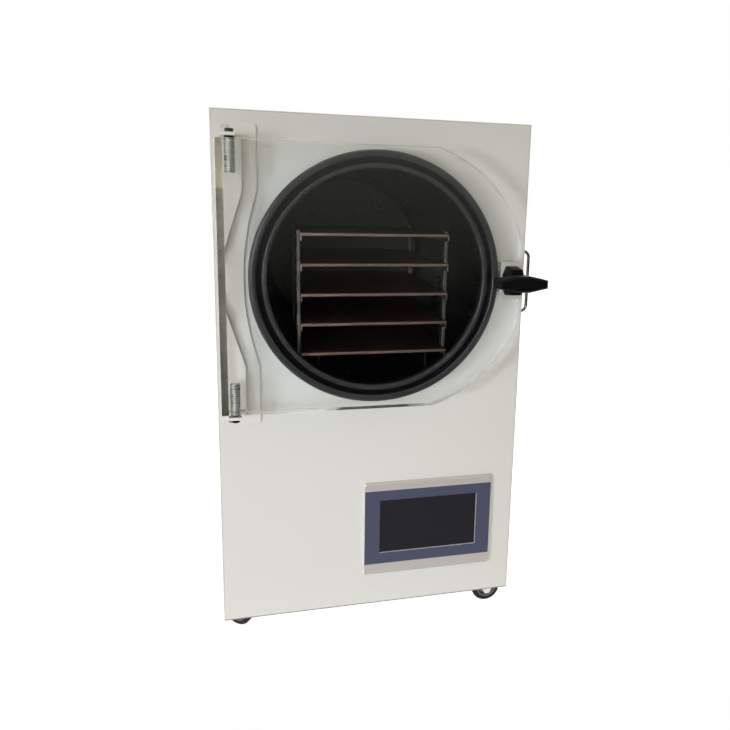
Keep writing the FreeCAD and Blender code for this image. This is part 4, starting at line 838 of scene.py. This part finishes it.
knob_plastic = finish("knob plastic", (0.0025, 0.0025, 0.003), 0.50, shade=0.3, spread=0.12, fine=1500.0,
                      broad=40.0, depth=0.00004, Specular_IOR_Level=0.12)
clip_steel = finish("matt clip steel", (0.74, 0.725, 0.70), 0.50, metallic=0.45, shade=0.08, depth=0.00001)
eased_copies(("latch_clip", "clamp_saddle", clip_steel, "door", "stainless", 0.0003),
             ("wing_knob", "clamp_knob", knob_plastic, "clamp", "black_plastic", 0.0006, 2, 30.0, 40.0),
             ("latch_stud", "clamp_stud", zinc_plate, "clamp", "zinc_steel", 0.0002),
             ("stud_ring", "stud_clip", zinc_plate, "clamp", "zinc_steel", 0.0001),
             ("catch_plate", "catch_bracket", satin_steel, "cabinet", "stainless", 0.0004))

# ---------------------------------------------------------------- side handle
# A bent stainless rod with a turned collar at each end.  Screws from inside hold it to the
# cabinet's right side.

rod_low, rod_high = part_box("side_handle")
ROD_RADIUS = 0.0025
ROD_BEND = 0.0100
COLLAR_RADIUS = 0.0055
COLLAR_THICK = 0.0030


def bent_rod(work, points, radius, bend, around=28, steps=9):
    """A round rod through corner points, with a bend of one radius at each inner corner."""
    path = eased([(points[0][0], points[0][1])] + [(a, b, bend) for a, b in points[1:-1]]
                 + [(points[-1][0], points[-1][1])], steps)
    rings = []
    for i, (x, z) in enumerate(path):
        before = Vector(path[max(i - 1, 0)])
        after = Vector(path[min(i + 1, len(path) - 1)])
        along = (after - before).normalized()
        across = Vector((along.y, 0.0, -along.x))
        turns = [2 * math.pi * k / around for k in range(around)]
        rings.append([work.verts.new(Vector((x, rod_y, z)) + radius * (
            across * math.cos(angle) + Vector((0, 1, 0)) * math.sin(angle))) for angle in turns])
    skinned(work, rings)
    work.faces.new(rings[0])
    work.faces.new(rings[-1][::-1])


# Polished steel coloured dark: a painted reflection of the dark room that the rod mirrors.
rod_steel_painted_shade = finish("rod steel, painted shade", (0.30, 0.29, 0.25), 0.13, metallic=1.0, shade=0.10, spread=0.06,
                   fine=1200.0, depth=0.000004)
rod_y = (rod_low.y + rod_high.y) / 2
rod_x = rod_high.x - ROD_RADIUS
rod_bottom, rod_top = rod_low.z + ROD_RADIUS, rod_high.z - ROD_RADIUS
work = bmesh.new()
bent_rod(work, [(rod_low.x, rod_bottom), (rod_x, rod_bottom), (rod_x, rod_top), (rod_low.x, rod_top)],
         ROD_RADIUS, ROD_BEND)
collar_outline = eased([
    (ROD_RADIUS - 0.0002, 0.0), (COLLAR_RADIUS, 0.0, 0.0002), (COLLAR_RADIUS, 0.0022, 0.0006),
    (ROD_RADIUS + 0.0006, COLLAR_THICK, 0.0004), (ROD_RADIUS - 0.0002, COLLAR_THICK)], 3)
for z in (rod_bottom, rod_top):
    turned(work, collar_outline,
           Matrix.Translation((rod_low.x, rod_y, z)) @ Matrix.Rotation(math.pi / 2, 4, "Y"), 40)
handle = new_piece("rod_handle", work, rod_steel_painted_shade, 50.0)
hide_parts("side_handle")
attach(handle, "cabinet")

# ---------------------------------------------------------------- touch panel
# A silver-beige moulded bezel round a blue-grey film and a dark display, in a cut-out of the
# front panel, with its electronics housing behind.

bezel_plastic = finish("bezel plastic", (0.740, 0.690, 0.665), 0.33, shade=0.05, spread=0.06, fine=1600.0,
                       broad=20.0, depth=0.00001, metallic=0.35)
overlay_film = finish("overlay film", (0.079, 0.086, 0.143), 0.34, shade=0.10, spread=0.05, fine=2200.0,
                      broad=14.0, depth=0.000006)
screen_glass = finish("display glass", (0.024, 0.023, 0.028), 0.05, shade=0.10, spread=0.02, fine=60.0,
                      broad=10.0, depth=0.0)
eased_copies(("panel_bezel", "hmi_bezel", bezel_plastic, "cabinet", "bezel_plastic", 0.0003),
             ("panel_film", "hmi_overlay", overlay_film, "cabinet", "overlay_blue", 0.0001),
             ("panel_screen", "hmi_screen", screen_glass, "cabinet", "screen_glass", 0.0002))
LIP = 0.0013                 # the sloping edge of the film's window round the display
LIP_SEAT = 0.0004
film_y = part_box("hmi_overlay")[0].y
screen_low, screen_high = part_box("hmi_screen")
# The lip's strips are coloured by side: pale bezel plastic where light would catch them, dark glass where it
# would not.
work = bmesh.new()
loops = []
for grow, y in ((LIP / 2, film_y - 0.00005), (-LIP / 2, screen_low.y - 0.00015),
                (-LIP / 2, screen_low.y + LIP_SEAT), (LIP / 2, screen_low.y + LIP_SEAT)):
    loops.append([work.verts.new((x, y, z)) for x, z in (
        (screen_low.x - grow, screen_low.z - grow), (screen_high.x + grow, screen_low.z - grow),
        (screen_high.x + grow, screen_high.z + grow), (screen_low.x - grow, screen_high.z + grow))])
for i, strip in enumerate(skinned(work, loops + loops[:1])):
    strip.material_index = int(i % 4 > 1)          # painted light below and at the right, painted shade otherwise
display_lip = new_piece("display_lip", work, bezel_plastic)
display_lip.data.materials.append(screen_glass)
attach(display_lip, "cabinet")
housing_plastic = finish("housing plastic", (0.018, 0.018, 0.020), 0.5, shade=0.2, fine=1200.0, depth=0.00005)
dress("hmi_housing", housing_plastic)

# ---------------------------------------------------------------- lower bay
# The refrigeration set and the controls: compressor on rubber feet, finned condenser, filter
# drier, fan and control box.

pot_enamel = finish("pot enamel", (0.012, 0.012, 0.013), 0.24, shade=0.3, spread=0.10, fine=300.0,
                    depth=0.00006, dust=0.25, Coat_Weight=0.3)
bare_fins = finish("bare aluminium", (0.70, 0.71, 0.72), 0.34, metallic=1.0, shade=0.15, fine=500.0,
                   depth=0.00003, dust=0.2)
grommet_rubber = finish("grommet rubber", (0.022, 0.022, 0.023), 0.6, shade=0.3, fine=600.0, depth=0.0001)
box_zinc = finish("box zinc", (0.60, 0.61, 0.62), 0.38, metallic=1.0, shade=0.2, spread=0.2, fine=240.0,
                  broad=60.0, depth=0.00001, dust=0.15)
for node, coat in (("compressor", pot_enamel), ("compressor_feet", grommet_rubber),
                   ("condenser_coil", bare_fins), ("filter_drier", coil_copper),
                   ("fan_shroud", housing_plastic), ("fan_rotor", housing_plastic),
                   ("electrical_box", box_zinc)):
    dress(node, coat)

# ---------------------------------------------------------------- rear fittings
# The mains inlet and its rocker switch are moulded in black plastic.  The drain ends in a cast
# brass ball valve, whose lever is dipped in red.

cast_brass = finish("cast brass", (0.62, 0.42, 0.15), 0.30, metallic=1.0, shade=0.2, spread=0.15, fine=350.0,
                    broad=40.0, depth=0.00008)
dipped_red = finish("dipped red", (0.42, 0.016, 0.012), 0.35, shade=0.08, fine=500.0, depth=0.00003)
rocker_plastic = finish("rocker plastic", (0.030, 0.030, 0.032), 0.25, shade=0.2, fine=1500.0, depth=0.00001)
eased_copies(("mains_inlet", "power_inlet", housing_plastic, "cabinet", "black_plastic", 0.0003),
             ("rocker", "power_switch", rocker_plastic, "power_switch", "black_plastic", 0.0003),
             ("ball_valve", "drain_valve", cast_brass, "cabinet", "valve_brass", 0.0003),
             ("valve_lever", "drain_lever", dipped_red, "drain_lever", "lever_red", 0.0005))

# ---------------------------------------------------------------- casters
# Four swivel casters bolted under the tray.  Each has a pressed and zinc-plated fork and a
# moulded hub with a rubber tyre, on an axle with domed heads.

tyre_rubber = finish("tyre rubber", (0.009, 0.009, 0.010), 0.55, shade=0.4, spread=0.15, fine=500.0,
                     broad=60.0, depth=0.00008, dust=0.04, Specular_IOR_Level=0.15)
hub_plastic = finish("hub plastic", (0.120, 0.095, 0.088), 0.35, metallic=0.6, shade=0.15, depth=0.00004)
eased_copies(("caster_tops", "caster_plates", zinc_plate, "cabinet", "zinc_steel", 0.0004),
             ("caster_bolt_set", "caster_bolts", zinc_plate, "cabinet", "zinc_steel", 0.0004))

TYRE_RADIUS = 0.0249
HUB_RADIUS = 0.0170
HALF_TREAD = 0.0085
AXLE_HEAD = 0.0045
AXLE_RISE = 0.0016
FORK_HALF = 0.0132           # from a wheel's middle to the outside of its fork


def wheel_axis(node):
    """The level direction of a wheel's axle: the normal of the tyre's flat sides."""
    shares = {}
    for face in nodes[node].data.polygons:
        normal = face.normal
        if abs(normal.z) < 0.001:
            key = (round(abs(normal.x), 3), round(normal.y * math.copysign(1.0, normal.x), 3))
            shares[key] = shares.get(key, 0.0) + face.area
    x, y = max(shares, key=shares.get)
    return Vector((x, y, 0.0)).normalized()


def wheel_place(node):
    """A matrix at the middle of a wheel with local Z along its axle."""
    low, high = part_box(node)
    across = wheel_axis(node)
    return Matrix.Translation((low + high) / 2) @ across.to_track_quat("Z", "Y").to_matrix().to_4x4()


tyre_outline = eased([
    (HUB_RADIUS, -HALF_TREAD), (TYRE_RADIUS - 0.0030, -HALF_TREAD, 0.0010), (TYRE_RADIUS, -0.0055, 0.0030),
    (TYRE_RADIUS, 0.0055, 0.0030), (TYRE_RADIUS - 0.0030, HALF_TREAD, 0.0010), (HUB_RADIUS, HALF_TREAD)], 5)
hub_side = [(0.0031, HALF_TREAD), (0.0062, HALF_TREAD, 0.0004), (0.0072, 0.0052, 0.0012),
            (0.0122, 0.0048, 0.0012), (0.0140, HALF_TREAD, 0.0005), (HUB_RADIUS, HALF_TREAD)]
hub_outline = eased([(r, -out, *ease) for r, out, *ease in hub_side] + hub_side[::-1], 4)
axle_outline = eased([(0.0, 0.0), (AXLE_HEAD, 0.0), (AXLE_HEAD * 0.8, AXLE_RISE, 0.0012), (0.0, AXLE_RISE)])
for corner in ("front_left", "front_right", "rear_left", "rear_right"):
    fork = "fork_" + corner
    eased_copies((fork, "caster_" + fork, zinc_plate, fork, "zinc_steel", 0.0005))
    place = wheel_place("caster_tyre_" + corner)
    for kind, outline, coat, slot in (("hub", hub_outline, hub_plastic, "hub_plastic"),
                                      ("tyre", tyre_outline, tyre_rubber, "tyre_rubber")):
        piece = turned_piece("%s_%s" % (kind, corner), outline, [place], 96, coat, 50.0)
        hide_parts("caster_%s_%s" % (kind, corner))
        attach(piece, "wheel_" + corner)
    ends = [place @ Matrix.Translation((0, 0, side * FORK_HALF)) @ Matrix.Rotation(flip, 4, "X")
            for side, flip in ((1, 0.0), (-1, math.pi))]
    heads = turned_piece("axle_heads_" + corner, axle_outline, ends, 32, zinc_plate, 40.0)
    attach(heads, fork)

# ---------------------------------------------------------------- floor, lights and camera
# A pale studio floor and soft lamps at a plain level.  The camera stands before the door, left of
# the middle, a little lower than the lid.

FLOOR_COLOUR = (0.86, 0.86, 0.85, 1.0)
FLOOR_GLOW = 0.80            # what the seen floor adds, so that it is white away from the shadow
WHITE = (1.0, 1.0, 1.0, 1.0)


def any_of(tree, *outputs):
    """One where any of several outputs is one."""
    last = outputs[0]
    for output in outputs[1:]:
        last = math_of(tree, "MAXIMUM", last, output)
    return last


floor_material, tree, plain = new_material("studio floor")
seen = node_in(tree, "ShaderNodeBsdfPrincipled", Emission_Color=WHITE, Emission_Strength=FLOOR_GLOW)
for shader in (plain, seen):
    shader.inputs["Base Color"].default_value = FLOOR_COLOUR
    shader.inputs["Roughness"].default_value = 1.0
    shader.inputs["Specular IOR Level"].default_value = 0.0
rays = tree.nodes.new("ShaderNodeLightPath").outputs
seen_ray = any_of(tree, rays["Is Camera Ray"], rays["Is Glossy Ray"], rays["Is Transmission Ray"])
mixed = node_in(tree, "ShaderNodeMixShader", seen_ray, plain.outputs[0], seen.outputs[0])
tree.links.new(mixed.outputs[0], tree.nodes["Material Output"].inputs["Surface"])
FLOOR_REACH = 40.0
FLOOR_FRONT = panel_low.y - 0.12
work = bmesh.new()
corners = [(-FLOOR_REACH, FLOOR_FRONT), (FLOOR_REACH, FLOOR_FRONT), (FLOOR_REACH, FLOOR_REACH),
           (-FLOOR_REACH, FLOOR_REACH)]
work.faces.new([work.verts.new((x, y, 0.0)) for x, y in corners])
floor = new_piece("studio_floor", work, floor_material)

ROOM_FLOOR = (0.006, 0.006, 0.006)       # the room before the machine, as its shine shows it
ROOM_UPPER = (0.42, 0.44, 0.37)
FILL_COLOUR = (1.0, 0.915, 0.77, 1.0)
FILL_STRENGTH = 0.46
world = bpy.data.worlds.new("studio")
bpy.context.scene.world = world
world.use_nodes = True
tree = world.node_tree
tree.nodes.clear()
rays = tree.nodes.new("ShaderNodeLightPath").outputs
where = tree.nodes.new("ShaderNodeTexCoord").outputs["Generated"]
parts = node_in(tree, "ShaderNodeSeparateXYZ", where).outputs
behind = node_in(tree, "ShaderNodeMapRange", parts["Y"], From_Min=-0.15, From_Max=0.15).outputs[0]
height = node_in(tree, "ShaderNodeMapRange", parts["Z"], From_Min=-1.0).outputs[0]
before = ramp(tree, height, (0.42, ROOM_FLOOR), (0.60, ROOM_UPPER))
around = node_in(tree, "ShaderNodeMix", data_type="RGBA", Factor=behind, A=before, B=WHITE).outputs["Result"]
white = node_in(tree, "ShaderNodeBackground", Color=WHITE, Strength=1.0)
room = node_in(tree, "ShaderNodeBackground", Color=around)
fill = node_in(tree, "ShaderNodeBackground", Color=FILL_COLOUR, Strength=FILL_STRENGTH)
direct = math_of(tree, "LESS_THAN", rays["Diffuse Depth"], 0.5)
shiny_ray = any_of(tree, rays["Is Glossy Ray"], rays["Is Transmission Ray"])
mirrored_ray = math_of(tree, "MULTIPLY", shiny_ray, direct)
shine = node_in(tree, "ShaderNodeMixShader", mirrored_ray, fill.outputs[0], room.outputs[0])
mixed = node_in(tree, "ShaderNodeMixShader", rays["Is Camera Ray"], shine.outputs[0], white.outputs[0])
node_in(tree, "ShaderNodeOutputWorld", Surface=mixed.outputs[0])


def soft_lamp(name, size, energy, place, target, colour=(1.0, 1.0, 1.0), spread=180.0):
    """A square soft box that looks at a target; a grid narrows its spread, in degrees."""
    data = bpy.data.lights.new(name, "AREA")
    data.shape = "SQUARE"
    data.size = size
    data.energy = energy
    data.color = colour
    data.spread = math.radians(spread)
    lamp = linked(name, data)
    lamp.location = place
    lamp.rotation_euler = (Vector(target) - Vector(place)).to_track_quat("-Z", "Y").to_euler()


DAYLIGHT = (0.87, 0.93, 1.0)
soft_lamp("key", 0.9, 2.0, (-1.15, -3.05, 0.62), (0.0, -0.28, 0.12), DAYLIGHT, 42.0)
soft_lamp("side", 0.6, 2.6, (-2.60, -2.40, 0.50), (0.0, -0.28, 0.15), DAYLIGHT, 42.0)
soft_lamp("top", 2.0, 10.0, (0.0, 0.6, 3.0), (0.0, 0.0, 0.6))
soft_lamp("back", 2.0, 16.0, (0.8, 2.8, 1.8), (0.0, 0.0, 0.5))

CAMERA_FROM_PANEL = Vector((0.08393, -0.81239, 0.61650))   # from the front panel's lower left corner
YAW, PITCH, ROLL = 0.2121, -0.1586, 0.0214
SENSOR_WIDTH = 36.0
FOCAL_SHARE = 0.79059                                      # focal length over the sensor's width
SHIFT_ACROSS, SHIFT_UP = -0.047945, -0.089041              # the lens sits off the picture's middle
camera_data = bpy.data.cameras.new("camera")
camera_data.sensor_width = SENSOR_WIDTH
camera_data.lens = FOCAL_SHARE * SENSOR_WIDTH
camera_data.shift_x = SHIFT_ACROSS
camera_data.shift_y = SHIFT_UP
camera_data.clip_start = 0.02
camera = linked("camera", camera_data)
turn = (Matrix.Rotation(-YAW, 4, "Z") @ Matrix.Rotation(math.pi / 2 + PITCH, 4, "X")
        @ Matrix.Rotation(ROLL, 4, "Z"))
camera.matrix_world = Matrix.Translation(panel_low + CAMERA_FROM_PANEL) @ turn
bpy.context.scene.camera = camera
bpy.context.scene.view_settings.view_transform = "Standard"

bpy.context.view_layer.update()
